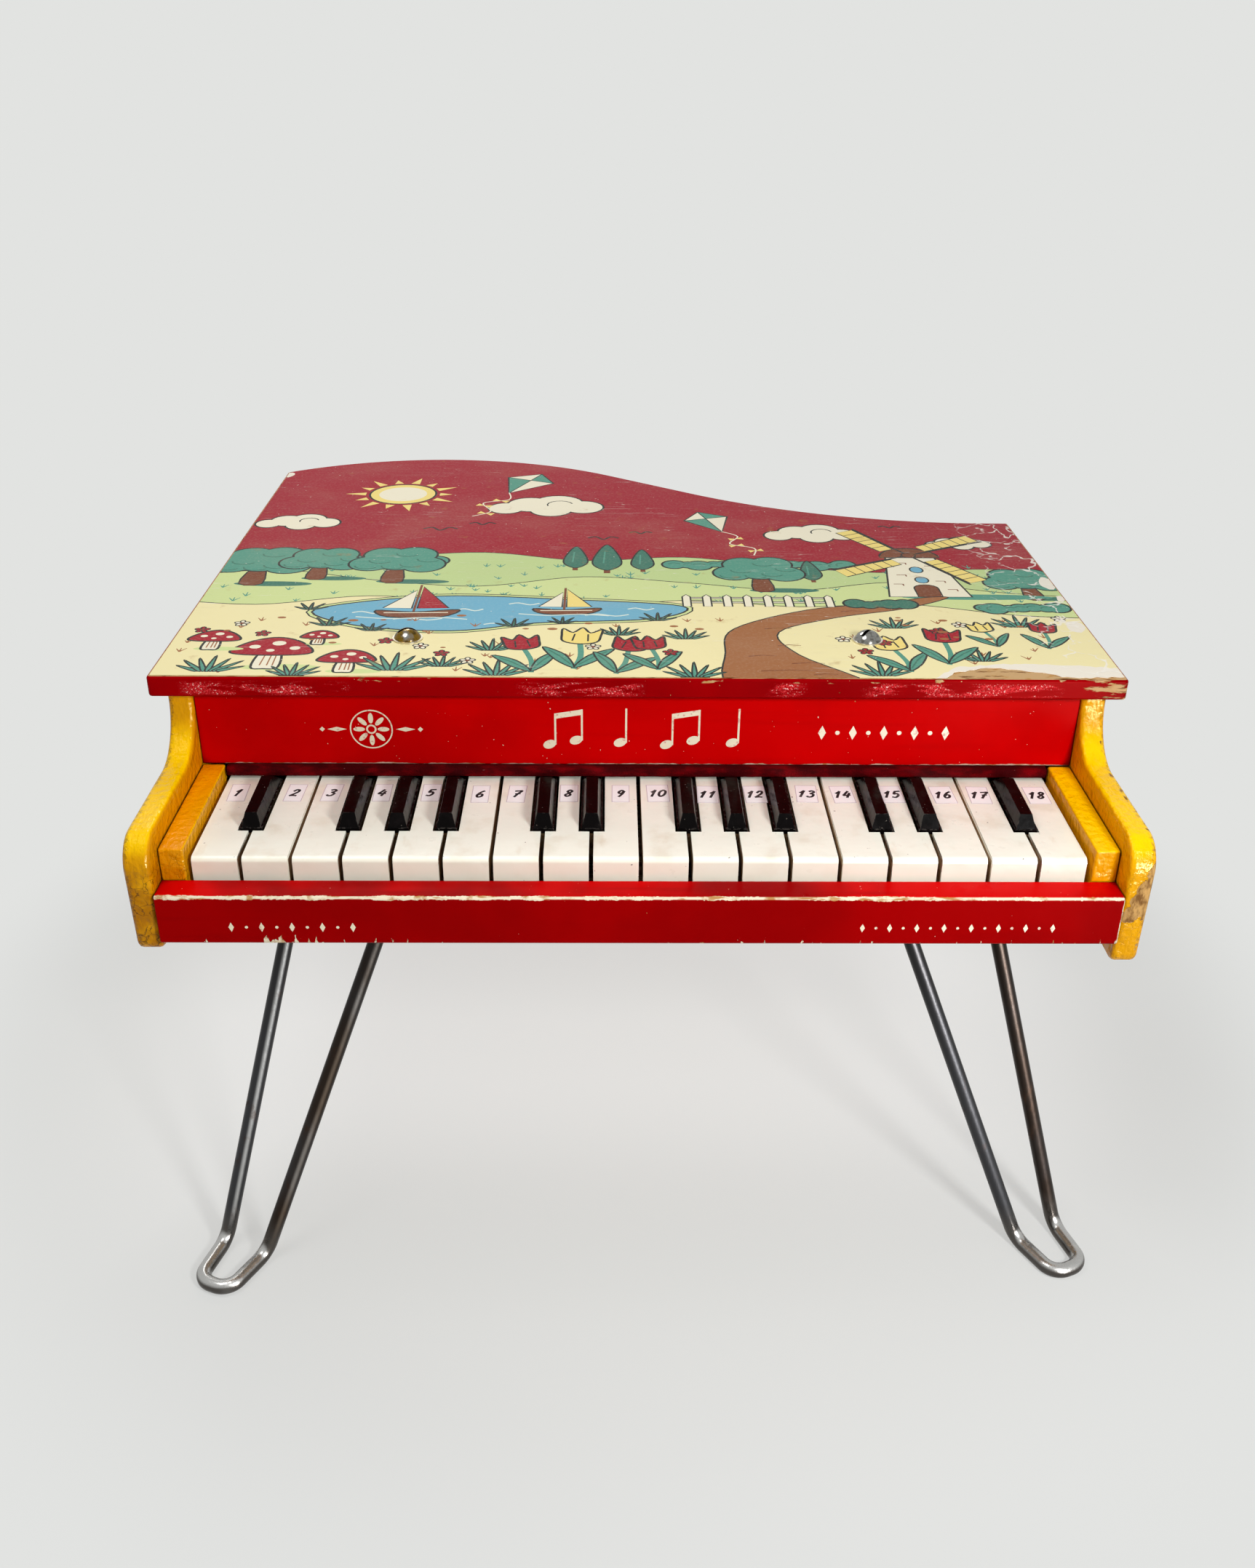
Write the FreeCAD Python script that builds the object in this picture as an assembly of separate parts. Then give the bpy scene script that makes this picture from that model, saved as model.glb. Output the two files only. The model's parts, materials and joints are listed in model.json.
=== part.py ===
import FreeCAD, Part
import math
import os

# Toy grand piano on three bent-wire legs, in millimetres.
# Working frame: X to the right, Y back from the fronts of the white keys, Z up from the floor.
# export() moves every piece so that the origin is the middle of the footprint, on the floor.

Vector = FreeCAD.Vector
X_AXIS = Vector(1, 0, 0)
Y_AXIS = Vector(0, 1, 0)
Z_AXIS = Vector(0, 0, 1)

# Keyboard
white_key_count = 18
black_after = (1, 3, 4, 5, 7, 8, 10, 11, 12, 14, 15, 17)
key_pitch = 20.0
key_gap = 1.8
key_top_height = 206.0
cover_thickness = 1.5
cover_lip_height = 12.0
cover_edge_radius = 2.2
head_under_nameboard = 4.6
black_setback = 22.8
black_rear_gap = 4.9
black_base_width = 9.0
black_top_width = 5.0
black_height = 6.5
black_front_slope = 3.0
black_rear_slope = 8.5
black_plinth_height = 2.2
black_plinth_step = 0.5
black_side_gap = 0.9

# Key levers and their hammers
lever_gap = 2.0
lever_notch_run = 3.0
lever_height = 13.5
tail_length = 92.0
tail_taper = 4.0
pivot_head_gap = 22.0
pivot_floor = 4.0
pivot_rod_diameter = 3.0
pivot_clearance = 0.05
key_dip_degrees = 3.5
hammer_tail_margin = 7.0
hammer_post_width = 5.0
hammer_post_depth = 4.0
hammer_side_step = 1.0
hammer_head_length = 9.0
hammer_head_height = 10.0
strike_gap = 0.6

# Pivot brackets, rests and stops
bracket_width = 6.0
bracket_depth = 11.0
bracket_cap = 4.0
bracket_crown_width = 3.0
rest_rail_depth = 12.0
rest_felt_thickness = 2.0
rest_clearance = 0.2
stop_felt_depth = 14.0
stop_felt_setback = 5.0
stop_felt_thickness = 3.6
stop_clearance = 0.3

# Case
key_block_gap = 1.0
key_block_width = 10.0
key_block_rise = 5.5
cheek_thickness = 10.5
left_cheek_drop = 5.6
right_cheek_drop = 11.2
arm_reach = 14.6
arm_rise = 15.0
arm_neck_straight = 4.5
arm_nose_radius = 13.0
arm_toe_radius = 5.0
arm_toe_setback = 1.6
arm_neck_step = 2.4
nameboard_setback = 71.4
nameboard_thickness = 9.0
nameboard_height = 36.0
felt_clearance = 0.6
felt_depth = 9.5
felt_stand_out = 1.2
felt_bulge = 2.4
rail_gap = 2.8
rail_depth = 12.8
rail_top_drop = 8.5
rail_edge_radius = 1.5
base_thickness = 6.0
bent_side_thickness = 8.0

# Lid
lid_thickness = 9.3
lid_side_overhang = 5.7
lid_front_overhang = 8.9
lid_depth = 337.0
lid_edge_radius = 1.2
lid_corner_radius = 1.8
tail_radius = 165.0
tail_offset = 112.0
waist_degrees = 37.0
waist_run = 59.6
waist_flat_length = 12.2
paper_thickness = 0.3
paper_margin = 0.2

# Tone bar, tone rods and the two lid screws
tone_bar_gap = 17.4
tone_bar_depth = 18.0
tone_bar_height = 14.0
tone_bar_side_gap = 4.0
tone_rod_diameter = 4.0
tone_socket_wall = 1.3
tone_socket_clearance = 0.05
bass_rod_gap = 53.0
rod_halving_steps = 24
screw_inset = 7.0
screw_spacing = 205.2
screw_shank_diameter = 5.0
screw_head_diameter = 12.0
screw_head_height = 4.2
screw_slot_width = 1.6
screw_slot_depth = 1.7
left_slot_degrees = 17.0
right_slot_degrees = 45.0
screw_hole_clearance = 0.2
screw_tip_length = 1.5
washer_diameter = 13.4
washer_thickness = 0.8
nut_width = 8.0
nut_height = 4.0

# Wire legs with their plates and wood screws
wire_diameter = 6.7
foot_flat_depth = 0.3
leg_top_spread = 46.8
leg_foot_spread = 21.6
leg_tip_spread = 16.0
leg_foot_length = 25.3
leg_bend_radius = 9.0
left_forward_splay = 62.7
left_side_splay = 31.3
right_forward_splay = 56.0
right_side_splay = 37.6
rear_splay = 57.8
front_leg_turn_degrees = 22.0
front_leg_inset = 62.8
front_leg_offset = 2.4
front_leg_setback = 40.0
rear_leg_offset = 17.0
rear_leg_inset = 114.5
tip_round_share = 0.95
plate_thickness = 2.0
plate_margin = 14.0
plate_depth = 34.0
plate_screw_inset = 6.0
wood_screw_diameter = 3.5
wood_screw_head_diameter = 7.0
wood_screw_head_height = 2.2
wood_screw_crown_diameter = 4.0
wood_screw_cover = 1.0
wood_screw_clearance = 0.05

# One overrun serves every cut
overrun = 5.0

# Places worked out from the sizes above
keyboard_half = white_key_count * key_pitch / 2
block_inner = keyboard_half + key_block_gap
cheek_inner = block_inner + key_block_width
cheek_outer = cheek_inner + cheek_thickness
lid_half = cheek_outer + lid_side_overhang
white_half = (key_pitch - key_gap) / 2
white_head_end = nameboard_setback + head_under_nameboard
notch_half = key_pitch / 2 - black_base_width / 2 - black_side_gap
notch_y = black_setback - black_side_gap
lever_notch_y = notch_y - lever_notch_run
black_end = nameboard_setback - black_rear_gap
lever_width = key_pitch / 2 - lever_gap
lever_top = key_top_height - cover_thickness
lever_bottom = lever_top - lever_height
pivot_y = white_head_end + pivot_head_gap
pivot_z = lever_bottom + pivot_floor
bore_radius = pivot_rod_diameter / 2 + pivot_clearance
tail_end = pivot_y + tail_length
hammer_y = tail_end - hammer_tail_margin
rest_back = hammer_y - hammer_head_length / 2
rest_felt_top = lever_bottom - rest_clearance
dip = math.radians(key_dip_degrees)
dip_drop = (pivot_y - stop_felt_setback) * math.sin(dip) + pivot_floor * math.cos(dip)
stop_felt_top = pivot_z - dip_drop - stop_clearance
base_top = stop_felt_top - stop_felt_thickness
base_bottom = base_top - base_thickness
rail_top = key_top_height - rail_top_drop
block_top = key_top_height + key_block_rise
lid_bottom = block_top + nameboard_height
lid_top = lid_bottom + lid_thickness
paper_top = lid_top + paper_thickness
lid_front = nameboard_setback - lid_front_overhang
tail_peak = lid_front + lid_depth
bent_side_inset = lid_side_overhang + bent_side_thickness
tone_bar_front = nameboard_setback + nameboard_thickness + tone_bar_gap
tone_bar_back = tone_bar_front + tone_bar_depth
tone_bar_bottom = lid_bottom - tone_bar_height
tone_rod_z = lid_bottom - tone_bar_height / 2
screw_y = tone_bar_front + screw_inset
screw_hole_radius = screw_shank_diameter / 2 + screw_hole_clearance
tone_socket_depth = tone_bar_back - screw_y - screw_hole_radius - tone_socket_wall
wire_radius = wire_diameter / 2
foot_z = wire_radius - foot_flat_depth
plate_bottom = base_bottom - plate_thickness
wood_screw_bite = base_thickness - wood_screw_cover
wood_hole_radius = wood_screw_diameter / 2 + wood_screw_clearance


def white_x(number):
    return (number - 1) * key_pitch + key_pitch / 2 - keyboard_half


def black_x(white_before):
    return white_before * key_pitch - keyboard_half


def box(x0, x1, y0, y1, z0, z1):
    return Part.makeBox(x1 - x0, y1 - y0, z1 - z0, Vector(x0, y0, z0))


def extrude_plan(points, z0, z1):
    """Prism of a plan outline, points as (x, y), between two heights."""
    corners = [Vector(x, y, z0) for x, y in points]
    wire = Part.makePolygon(corners + corners[:1])
    return Part.Face(wire).extrude(Z_AXIS * (z1 - z0))


def extrude_side(edges, x0, x1):
    """Prism of a closed side profile drawn at X zero, between two X values."""
    face = Part.Face(Part.Wire(Part.__sortEdges__(edges)))
    face.translate(X_AXIS * x0)
    return face.extrude(X_AXIS * (x1 - x0))


def side_point(y, z):
    return Vector(0, y, z)


def line(start, end):
    return Part.LineSegment(start, end).toShape()


def arc(start, middle, end):
    return Part.Arc(start, middle, end).toShape()


def quarter_middle(centre, toward_y, toward_z, radius):
    """Middle of a quarter arc in the side plane, on the diagonal that the two signs give."""
    reach = radius * math.sqrt(0.5)
    return side_point(centre.y + toward_y * reach, centre.z + toward_z * reach)


def cylinder(radius, length, start, axis):
    return Part.makeCylinder(radius, length, start, axis)


# White keys: wooden lever, bent celluloid cover, hammer post and head
def hammer(x):
    lift = (hammer_y - pivot_y) * math.sin(dip)
    head_top = tone_rod_z - tone_rod_diameter / 2 - strike_gap - lift
    head_bottom = head_top - hammer_head_height
    post = box(x - hammer_post_width / 2, x + hammer_post_width / 2,
               hammer_y - hammer_post_depth / 2, hammer_y + hammer_post_depth / 2,
               lever_top, head_bottom)
    half = hammer_head_length / 2
    shoulder = head_top - half
    front = side_point(hammer_y - half, shoulder)
    crown = side_point(hammer_y, head_top)
    back = side_point(hammer_y + half, shoulder)
    front_foot = side_point(front.y, head_bottom)
    back_foot = side_point(back.y, head_bottom)
    edges = [arc(front, crown, back), line(back, back_foot)]
    edges += [line(back_foot, front_foot), line(front_foot, front)]
    head_half = (lever_width - hammer_side_step) / 2
    head = extrude_side(edges, x - head_half, x + head_half)
    return [post, head]


def bored(lever, x):
    reach = key_pitch
    bore = cylinder(bore_radius, reach, Vector(x - reach / 2, pivot_y, pivot_z), X_AXIS)
    return lever.cut(bore)


def tail_cut(x):
    """Wedge that thins the underside of a lever's tail end, behind the rest rail."""
    start = rest_back
    edges = [line(side_point(start, lever_bottom), side_point(tail_end, lever_bottom + tail_taper))]
    edges += [line(side_point(tail_end, lever_bottom + tail_taper), side_point(tail_end, lever_bottom))]
    edges += [line(side_point(tail_end, lever_bottom), side_point(start, lever_bottom))]
    return extrude_side(edges, x - lever_width, x + lever_width)


def white_key(number):
    x = white_x(number)
    left = notch_half if number - 1 in black_after else white_half
    right = notch_half if number in black_after else white_half
    half = lever_width / 2
    plan = [(x - white_half, cover_thickness), (x + white_half, cover_thickness)]
    plan += [(x + white_half, lever_notch_y), (x + right, lever_notch_y), (x + right, white_head_end)]
    plan += [(x + half, white_head_end), (x + half, tail_end)]
    plan += [(x - half, tail_end), (x - half, white_head_end)]
    plan += [(x - left, white_head_end), (x - left, lever_notch_y), (x - white_half, lever_notch_y)]
    plan = [point for i, point in enumerate(plan) if point != plan[i - 1]]
    lever = bored(extrude_plan(plan, lever_bottom, lever_top), x).cut(tail_cut(x))
    return Part.makeCompound([lever, white_cover(x, left, right)] + hammer(x))


def white_cover(x, left, right):
    top = key_top_height
    radius = cover_edge_radius
    lip_bottom = top - cover_lip_height
    centre = side_point(radius, top - radius)
    front_end = side_point(0, top - radius)
    top_end = side_point(radius, top)
    rear_top = side_point(white_head_end, top)
    rear_foot = side_point(white_head_end, lever_top)
    inner = side_point(cover_thickness, lever_top)
    lip_inner = side_point(cover_thickness, lip_bottom)
    lip_outer = side_point(0, lip_bottom)
    edges = [arc(front_end, quarter_middle(centre, -1, 1, radius), top_end), line(top_end, rear_top)]
    edges += [line(rear_top, rear_foot), line(rear_foot, inner), line(inner, lip_inner)]
    edges += [line(lip_inner, lip_outer), line(lip_outer, front_end)]
    cover = extrude_side(edges, x - white_half, x + white_half)
    rear = white_head_end + overrun
    if right < white_half:
        cover = cover.cut(box(x + right, x + white_half + overrun, notch_y, rear,
                              lever_top - overrun, top + overrun))
    if left < white_half:
        cover = cover.cut(box(x - white_half - overrun, x - left, notch_y, rear,
                              lever_top - overrun, top + overrun))
    return cover


# Black keys: wooden lever, tapered cap on a low plinth, hammer post and head
def plan_wire(x0, x1, y0, y1, z):
    corners = [Vector(x0, y0, z), Vector(x1, y0, z), Vector(x1, y1, z), Vector(x0, y1, z)]
    return Part.makePolygon(corners + corners[:1])


def black_cap(x):
    half = black_base_width / 2
    rear = black_end
    plinth_top = lever_top + black_plinth_height
    plinth = box(x - half, x + half, black_setback, rear, lever_top, plinth_top)
    foot_half = half - black_plinth_step
    foot = plan_wire(x - foot_half, x + foot_half, black_setback + black_plinth_step, rear, plinth_top)
    crown_half = black_top_width / 2
    crown = plan_wire(x - crown_half, x + crown_half, black_setback + black_front_slope,
                      rear - black_rear_slope, key_top_height + black_height)
    return plinth.fuse(Part.makeLoft([foot, crown], True, True)).removeSplitter()


def black_key(white_before):
    x = black_x(white_before)
    half = lever_width / 2
    lever = box(x - half, x + half, black_setback, tail_end, lever_bottom, lever_top)
    lever = bored(lever, x).cut(tail_cut(x))
    return Part.makeCompound([lever, black_cap(x)] + hammer(x))


# What carries and stops the keys
def pivot_rod():
    reach = block_inner + key_block_width / 2
    return cylinder(pivot_rod_diameter / 2, reach * 2, Vector(-reach, pivot_y, pivot_z), X_AXIS)


def bracket_places():
    """Middles of the gaps that have no black key, and one place beyond each end key."""
    free = [n for n in range(1, white_key_count) if n not in black_after]
    inner = [black_x(n) for n in free]
    end = block_inner + key_block_width / 2 - bracket_width / 2
    return [-end] + inner + [end]


def pivot_brackets():
    brackets = []
    top = pivot_z + pivot_rod_diameter / 2 + bracket_cap
    half_depth = bracket_depth / 2
    shoulder = pivot_z
    left = side_point(pivot_y - half_depth, shoulder)
    right = side_point(pivot_y + half_depth, shoulder)
    crown_half = bracket_crown_width / 2
    crown_left = side_point(pivot_y - crown_half, top)
    crown_right = side_point(pivot_y + crown_half, top)
    foot_left = side_point(left.y, base_top)
    foot_right = side_point(right.y, base_top)
    edges = [line(foot_left, left), line(left, crown_left), line(crown_left, crown_right)]
    edges += [line(crown_right, right), line(right, foot_right), line(foot_right, foot_left)]
    for x in bracket_places():
        bracket = extrude_side(edges, x - bracket_width / 2, x + bracket_width / 2)
        brackets.append(bored(bracket, x))
    return Part.makeCompound(brackets)


def back_rest_rail():
    return box(-keyboard_half, keyboard_half, rest_back - rest_rail_depth, rest_back,
               base_top, rest_felt_top - rest_felt_thickness)


def back_rest_felt():
    return box(-keyboard_half, keyboard_half, rest_back - rest_rail_depth, rest_back,
               rest_felt_top - rest_felt_thickness, rest_felt_top)


def front_stop_felt():
    """Strip that the undersides of the keys land on at full dip."""
    return box(-keyboard_half, keyboard_half, stop_felt_setback, stop_felt_setback + stop_felt_depth,
               base_top, stop_felt_top)


# Case boards
def tail_centre():
    return Vector(-tail_offset, tail_peak - tail_radius, 0)


def rear_curve(inset, half_width, z):
    """Bulging tail, slanting waist and short flat, left to right, moved in by an inset."""
    waist = math.radians(waist_degrees)
    tail = tail_centre()
    flat_x = lid_half - waist_flat_length
    waist_head_x = tail.x + tail_radius * math.sin(waist) + waist_run * math.cos(waist)
    waist_head_y = tail.y + tail_radius * math.cos(waist) - waist_run * math.sin(waist)
    waist_radius = (flat_x - waist_head_x) / math.sin(waist)
    hollow_y = waist_head_y + waist_radius * math.cos(waist)
    bulge = tail_radius - inset
    scoop = waist_radius + inset

    def on_tail(angle):
        return Vector(tail.x + bulge * math.sin(angle), tail.y + bulge * math.cos(angle), z)

    def on_waist(angle):
        return Vector(flat_x - scoop * math.sin(angle), hollow_y - scoop * math.cos(angle), z)

    first = math.asin((-half_width - tail.x) / bulge)
    last = max(0, math.asin((flat_x - half_width) / scoop))
    edges = [arc(on_tail(first), on_tail((first + waist) / 2), on_tail(waist))]
    edges.append(line(on_tail(waist), on_waist(waist)))
    edges.append(arc(on_waist(waist), on_waist((waist + last) / 2), on_waist(last)))
    right_end = on_waist(last)
    if half_width > flat_x:
        right_end = Vector(half_width, hollow_y - scoop, z)
        edges.append(line(on_waist(last), right_end))
    return edges, on_tail(first), right_end


def plan_board(inset, half_width, front, z0, z1):
    """Board that ends in the rear curve, with straight sides and a straight front."""
    edges, left_end, right_end = rear_curve(inset, half_width, z0)
    left_front = Vector(-half_width, front, z0)
    right_front = Vector(half_width, front, z0)
    edges += [line(right_end, right_front), line(right_front, left_front), line(left_front, left_end)]
    face = Part.Face(Part.Wire(Part.__sortEdges__(edges)))
    return face.extrude(Z_AXIS * (z1 - z0))


def cheek(x0, x1, drop):
    """Side board whose front is the S-curved arm beside the keys."""
    bottom = base_bottom - drop
    arm_top = key_top_height + arm_rise
    front = -arm_reach
    neck = nameboard_setback - arm_neck_step
    neck_radius = lid_bottom - arm_neck_straight - arm_top
    neck_centre = side_point(neck - neck_radius, arm_top + neck_radius)
    nose_centre = side_point(front + arm_nose_radius, arm_top - arm_nose_radius)
    toe = front + arm_toe_setback
    toe_centre = side_point(toe + arm_toe_radius, bottom + arm_toe_radius)
    rear = tail_peak + overrun
    neck_top = side_point(neck, lid_bottom)
    neck_foot = side_point(neck, neck_centre.z)
    arm_rear = side_point(neck_centre.y, arm_top)
    arm_front = side_point(nose_centre.y, arm_top)
    nose_foot = side_point(front, nose_centre.z)
    toe_top = side_point(toe, toe_centre.z)
    toe_foot = side_point(toe_centre.y, bottom)
    rear_foot = side_point(rear, bottom)
    rear_top = side_point(rear, lid_bottom)
    edges = [line(neck_top, neck_foot)]
    edges.append(arc(neck_foot, quarter_middle(neck_centre, 1, -1, neck_radius), arm_rear))
    edges.append(line(arm_rear, arm_front))
    edges.append(arc(arm_front, quarter_middle(nose_centre, -1, 1, arm_nose_radius), nose_foot))
    edges.append(line(nose_foot, toe_top))
    edges.append(arc(toe_top, quarter_middle(toe_centre, -1, -1, arm_toe_radius), toe_foot))
    edges += [line(toe_foot, rear_foot), line(rear_foot, rear_top), line(rear_top, neck_top)]
    board = extrude_side(edges, x0, x1)
    footprint = plan_board(lid_side_overhang, cheek_outer, front - overrun,
                           bottom - overrun, lid_bottom + overrun)
    return board.common(footprint)


def bent_side():
    outer, outer_left, outer_right = rear_curve(lid_side_overhang, cheek_inner, base_bottom)
    inner, inner_left, inner_right = rear_curve(bent_side_inset, cheek_inner, base_bottom)
    edges = outer + inner + [line(outer_left, inner_left), line(outer_right, inner_right)]
    face = Part.Face(Part.Wire(Part.__sortEdges__(edges)))
    return face.extrude(Z_AXIS * (lid_bottom - base_bottom))


def plate_holes(z0, z1):
    holes = []
    for place in leg_places():
        for spot in plate_screw_spots(place):
            holes.append(cylinder(wood_hole_radius, z1 - z0, Vector(spot.x, spot.y, z0), Z_AXIS))
    return holes


def base_board():
    board = plan_board(bent_side_inset, cheek_inner, -rail_gap, base_bottom, base_top)
    return board.cut(plate_holes(base_bottom - overrun, base_bottom + wood_screw_bite))


def front_rail():
    back = -rail_gap
    front = back - rail_depth
    rail = box(-cheek_inner, cheek_inner, front, back, base_bottom, rail_top)
    edges = [e for e in rail.Edges if abs(e.CenterOfMass.y - front) < rail_edge_radius / 2]
    long_edges = [e for e in edges if e.Length > cheek_inner]
    return rail.makeFillet(rail_edge_radius, long_edges)


def key_block(x0, x1):
    return box(x0, x1, -rail_gap, nameboard_setback, base_top, block_top)


def nameboard():
    return box(-cheek_inner, cheek_inner, nameboard_setback,
               nameboard_setback + nameboard_thickness, block_top, lid_bottom)


def nameboard_felt():
    """Velvet strip glued under the nameboard, with a bulging front."""
    front = nameboard_setback - felt_stand_out
    back = front + felt_depth
    top = block_top
    bottom = key_top_height + felt_clearance
    front_top = side_point(front, top)
    front_middle = side_point(front - felt_bulge, (top + bottom) / 2)
    front_bottom = side_point(front, bottom)
    back_bottom = side_point(back, bottom)
    back_top = side_point(back, top)
    edges = [arc(front_top, front_middle, front_bottom), line(front_bottom, back_bottom)]
    edges += [line(back_bottom, back_top), line(back_top, front_top)]
    return extrude_side(edges, -keyboard_half, keyboard_half)


# Lid, paper and what hangs from the lid screws
def screw_places():
    return [-screw_spacing / 2, screw_spacing / 2]


def screw_holes(z0, z1):
    radius = screw_hole_radius
    return [cylinder(radius, z1 - z0, Vector(x, screw_y, z0), Z_AXIS) for x in screw_places()]


def round_front_corners(board, front, radius):
    uprights = [e for e in board.Edges if e.BoundBox.YMax < front + overrun and e.BoundBox.XLength < overrun]
    return board.makeFillet(radius, uprights)


def lid():
    board = plan_board(0, lid_half, lid_front, lid_bottom, lid_top)
    board = round_front_corners(board, lid_front, lid_corner_radius)
    rims = [e for e in board.Edges if abs(e.BoundBox.ZMax - e.BoundBox.ZMin) < lid_edge_radius]
    board = board.makeFillet(lid_edge_radius, rims)
    return board.cut(screw_holes(lid_bottom - overrun, lid_top + overrun))


def lid_paper():
    inset = lid_edge_radius + paper_margin
    sheet = plan_board(inset, lid_half - inset, lid_front + inset, lid_top, paper_top)
    sheet = round_front_corners(sheet, lid_front + inset, lid_corner_radius - inset)
    return sheet.cut(screw_holes(lid_top - overrun, paper_top + overrun))


def lid_washers():
    washers = []
    for x in screw_places():
        start = Vector(x, screw_y, paper_top)
        disc = cylinder(washer_diameter / 2, washer_thickness, start, Z_AXIS)
        hole = cylinder(screw_hole_radius, washer_thickness, start, Z_AXIS)
        washers.append(disc.cut(hole))
    return Part.makeCompound(washers)


def lid_screws():
    screws = []
    seat = paper_top + washer_thickness
    tip = tone_bar_bottom - nut_height - screw_tip_length
    head_radius = screw_head_diameter / 2
    ball_radius = (head_radius ** 2 + screw_head_height ** 2) / (2 * screw_head_height)
    for x, degrees in zip(screw_places(), (left_slot_degrees, right_slot_degrees)):
        ball = Part.makeSphere(ball_radius, Vector(x, screw_y, seat + screw_head_height - ball_radius))
        dome = ball.common(cylinder(screw_head_diameter, screw_head_diameter,
                                    Vector(x, screw_y, seat), Z_AXIS))
        slot = box(x - screw_head_diameter, x + screw_head_diameter,
                   screw_y - screw_slot_width / 2, screw_y + screw_slot_width / 2,
                   seat + screw_head_height - screw_slot_depth, seat + screw_head_height + overrun)
        slot.rotate(Vector(x, screw_y, seat), Z_AXIS, degrees)
        shank = cylinder(screw_shank_diameter / 2, seat - tip, Vector(x, screw_y, tip), Z_AXIS)
        screws.append(dome.cut(slot).fuse(shank))
    return Part.makeCompound(screws)


def lid_nuts():
    nuts = []
    bottom = tone_bar_bottom - nut_height
    corner_radius = nut_width / math.sqrt(3)
    sides = 6
    for x in screw_places():
        turns = [2 * math.pi * i / sides for i in range(sides)]
        points = [(x + corner_radius * math.cos(t), screw_y + corner_radius * math.sin(t)) for t in turns]
        nut = extrude_plan(points, bottom, tone_bar_bottom)
        hole = cylinder(screw_shank_diameter / 2 + wood_screw_clearance, nut_height,
                        Vector(x, screw_y, bottom), Z_AXIS)
        nuts.append(nut.cut(hole))
    return Part.makeCompound(nuts)


def note_places():
    """X of every lever, from the lowest note to the highest."""
    whites = [white_x(n) for n in range(1, white_key_count + 1)]
    return sorted(whites + [black_x(n) for n in black_after])


def tone_bar():
    half = keyboard_half - tone_bar_side_gap
    bar = box(-half, half, tone_bar_front, tone_bar_back, tone_bar_bottom, lid_bottom)
    radius = tone_rod_diameter / 2 + tone_socket_clearance
    depth = tone_socket_depth + tone_socket_clearance
    cuts = screw_holes(tone_bar_bottom - overrun, lid_bottom + overrun)
    for x in note_places():
        start = Vector(x, tone_bar_back - depth, tone_rod_z)
        cuts.append(cylinder(radius, depth + overrun, start, Y_AXIS))
    return bar.cut(cuts)


def tone_rods():
    """Each rod is shorter than the last, so that its pitch is a semitone higher."""
    rods = []
    places = note_places()
    tail = tail_centre()
    wall_y = tail.y + math.sqrt((tail_radius - bent_side_inset) ** 2 - (places[0] - tail.x) ** 2)
    bass_rod_length = wall_y - bass_rod_gap - tone_bar_back
    start_y = tone_bar_back - tone_socket_depth
    for step, x in enumerate(places):
        length = bass_rod_length * 2 ** (-step / rod_halving_steps)
        start = Vector(x, start_y, tone_rod_z)
        rods.append(cylinder(tone_rod_diameter / 2, tone_socket_depth + length, start, Y_AXIS))
    return Part.makeCompound(rods)


# Legs
def leg_places():
    """Plan centre of each leg's top, heading of its foot, and how far it leans ahead and across."""
    turn = math.radians(front_leg_turn_degrees)
    side = cheek_inner - front_leg_inset
    left_centre = Vector(front_leg_offset - side, front_leg_setback, 0)
    right_centre = Vector(front_leg_offset + side, front_leg_setback, 0)
    rear_centre = Vector(rear_leg_offset - tail_offset, tail_peak - rear_leg_inset, 0)
    left = (left_centre, -turn, left_forward_splay, -left_side_splay)
    right = (right_centre, turn, right_forward_splay, right_side_splay)
    return [left, right, (rear_centre, math.pi, rear_splay, 0)]


def leg_axes(heading):
    """Unit vectors along the foot and across it; a heading of zero points the foot forward."""
    ahead = Vector(math.sin(heading), -math.cos(heading), 0)
    across = Vector(math.cos(heading), math.sin(heading), 0)
    return ahead, across


def bent_wire(points, radii):
    """Wire path of straight runs joined by tangent arcs, one radius at each inner point."""
    edges = []
    start = points[0]
    for before, corner, after, radius in zip(points, points[1:], points[2:], radii):
        arrive = (corner - before).normalize()
        leave = (after - corner).normalize()
        turn = arrive.getAngle(leave)
        tangent = radius * math.tan(turn / 2)
        first = corner - arrive * tangent
        last = corner + leave * tangent
        inward = (leave - arrive).normalize()
        middle = corner + inward * (radius / math.cos(turn / 2) - radius)
        edges.append(line(start, first))
        edges.append(arc(first, middle, last))
        start = last
    edges.append(line(start, points[-1]))
    return Part.Wire(edges)


def wire_leg(place):
    centre, heading, forward_splay, side_splay = place
    ahead, across = leg_axes(heading)
    foot = centre + ahead * forward_splay + across * side_splay + Z_AXIS * foot_z
    tip = foot + ahead * leg_foot_length
    rods = []
    for side in (1, -1):
        top = centre + across * (side * leg_top_spread / 2) + Z_AXIS * plate_bottom
        bend = foot + across * (side * leg_foot_spread / 2)
        above = top + (top - bend).normalize() * wire_diameter
        rods.append([above, bend, tip + across * (side * leg_tip_spread / 2)])
    points = rods[0] + rods[1][::-1]
    tip_radius = leg_tip_spread / 2 * tip_round_share
    path = bent_wire(points, [leg_bend_radius, tip_radius, tip_radius, leg_bend_radius])
    run = (points[1] - points[0]).normalize()
    section = Part.Wire(Part.makeCircle(wire_radius, points[0], run))
    wire = path.makePipeShell([section], True, False)
    reach = forward_splay + leg_top_spread + leg_foot_length + abs(side_splay)
    room = box(centre.x - reach, centre.x + reach, centre.y - reach, centre.y + reach, 0, plate_bottom)
    return wire.common(room)


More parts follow.
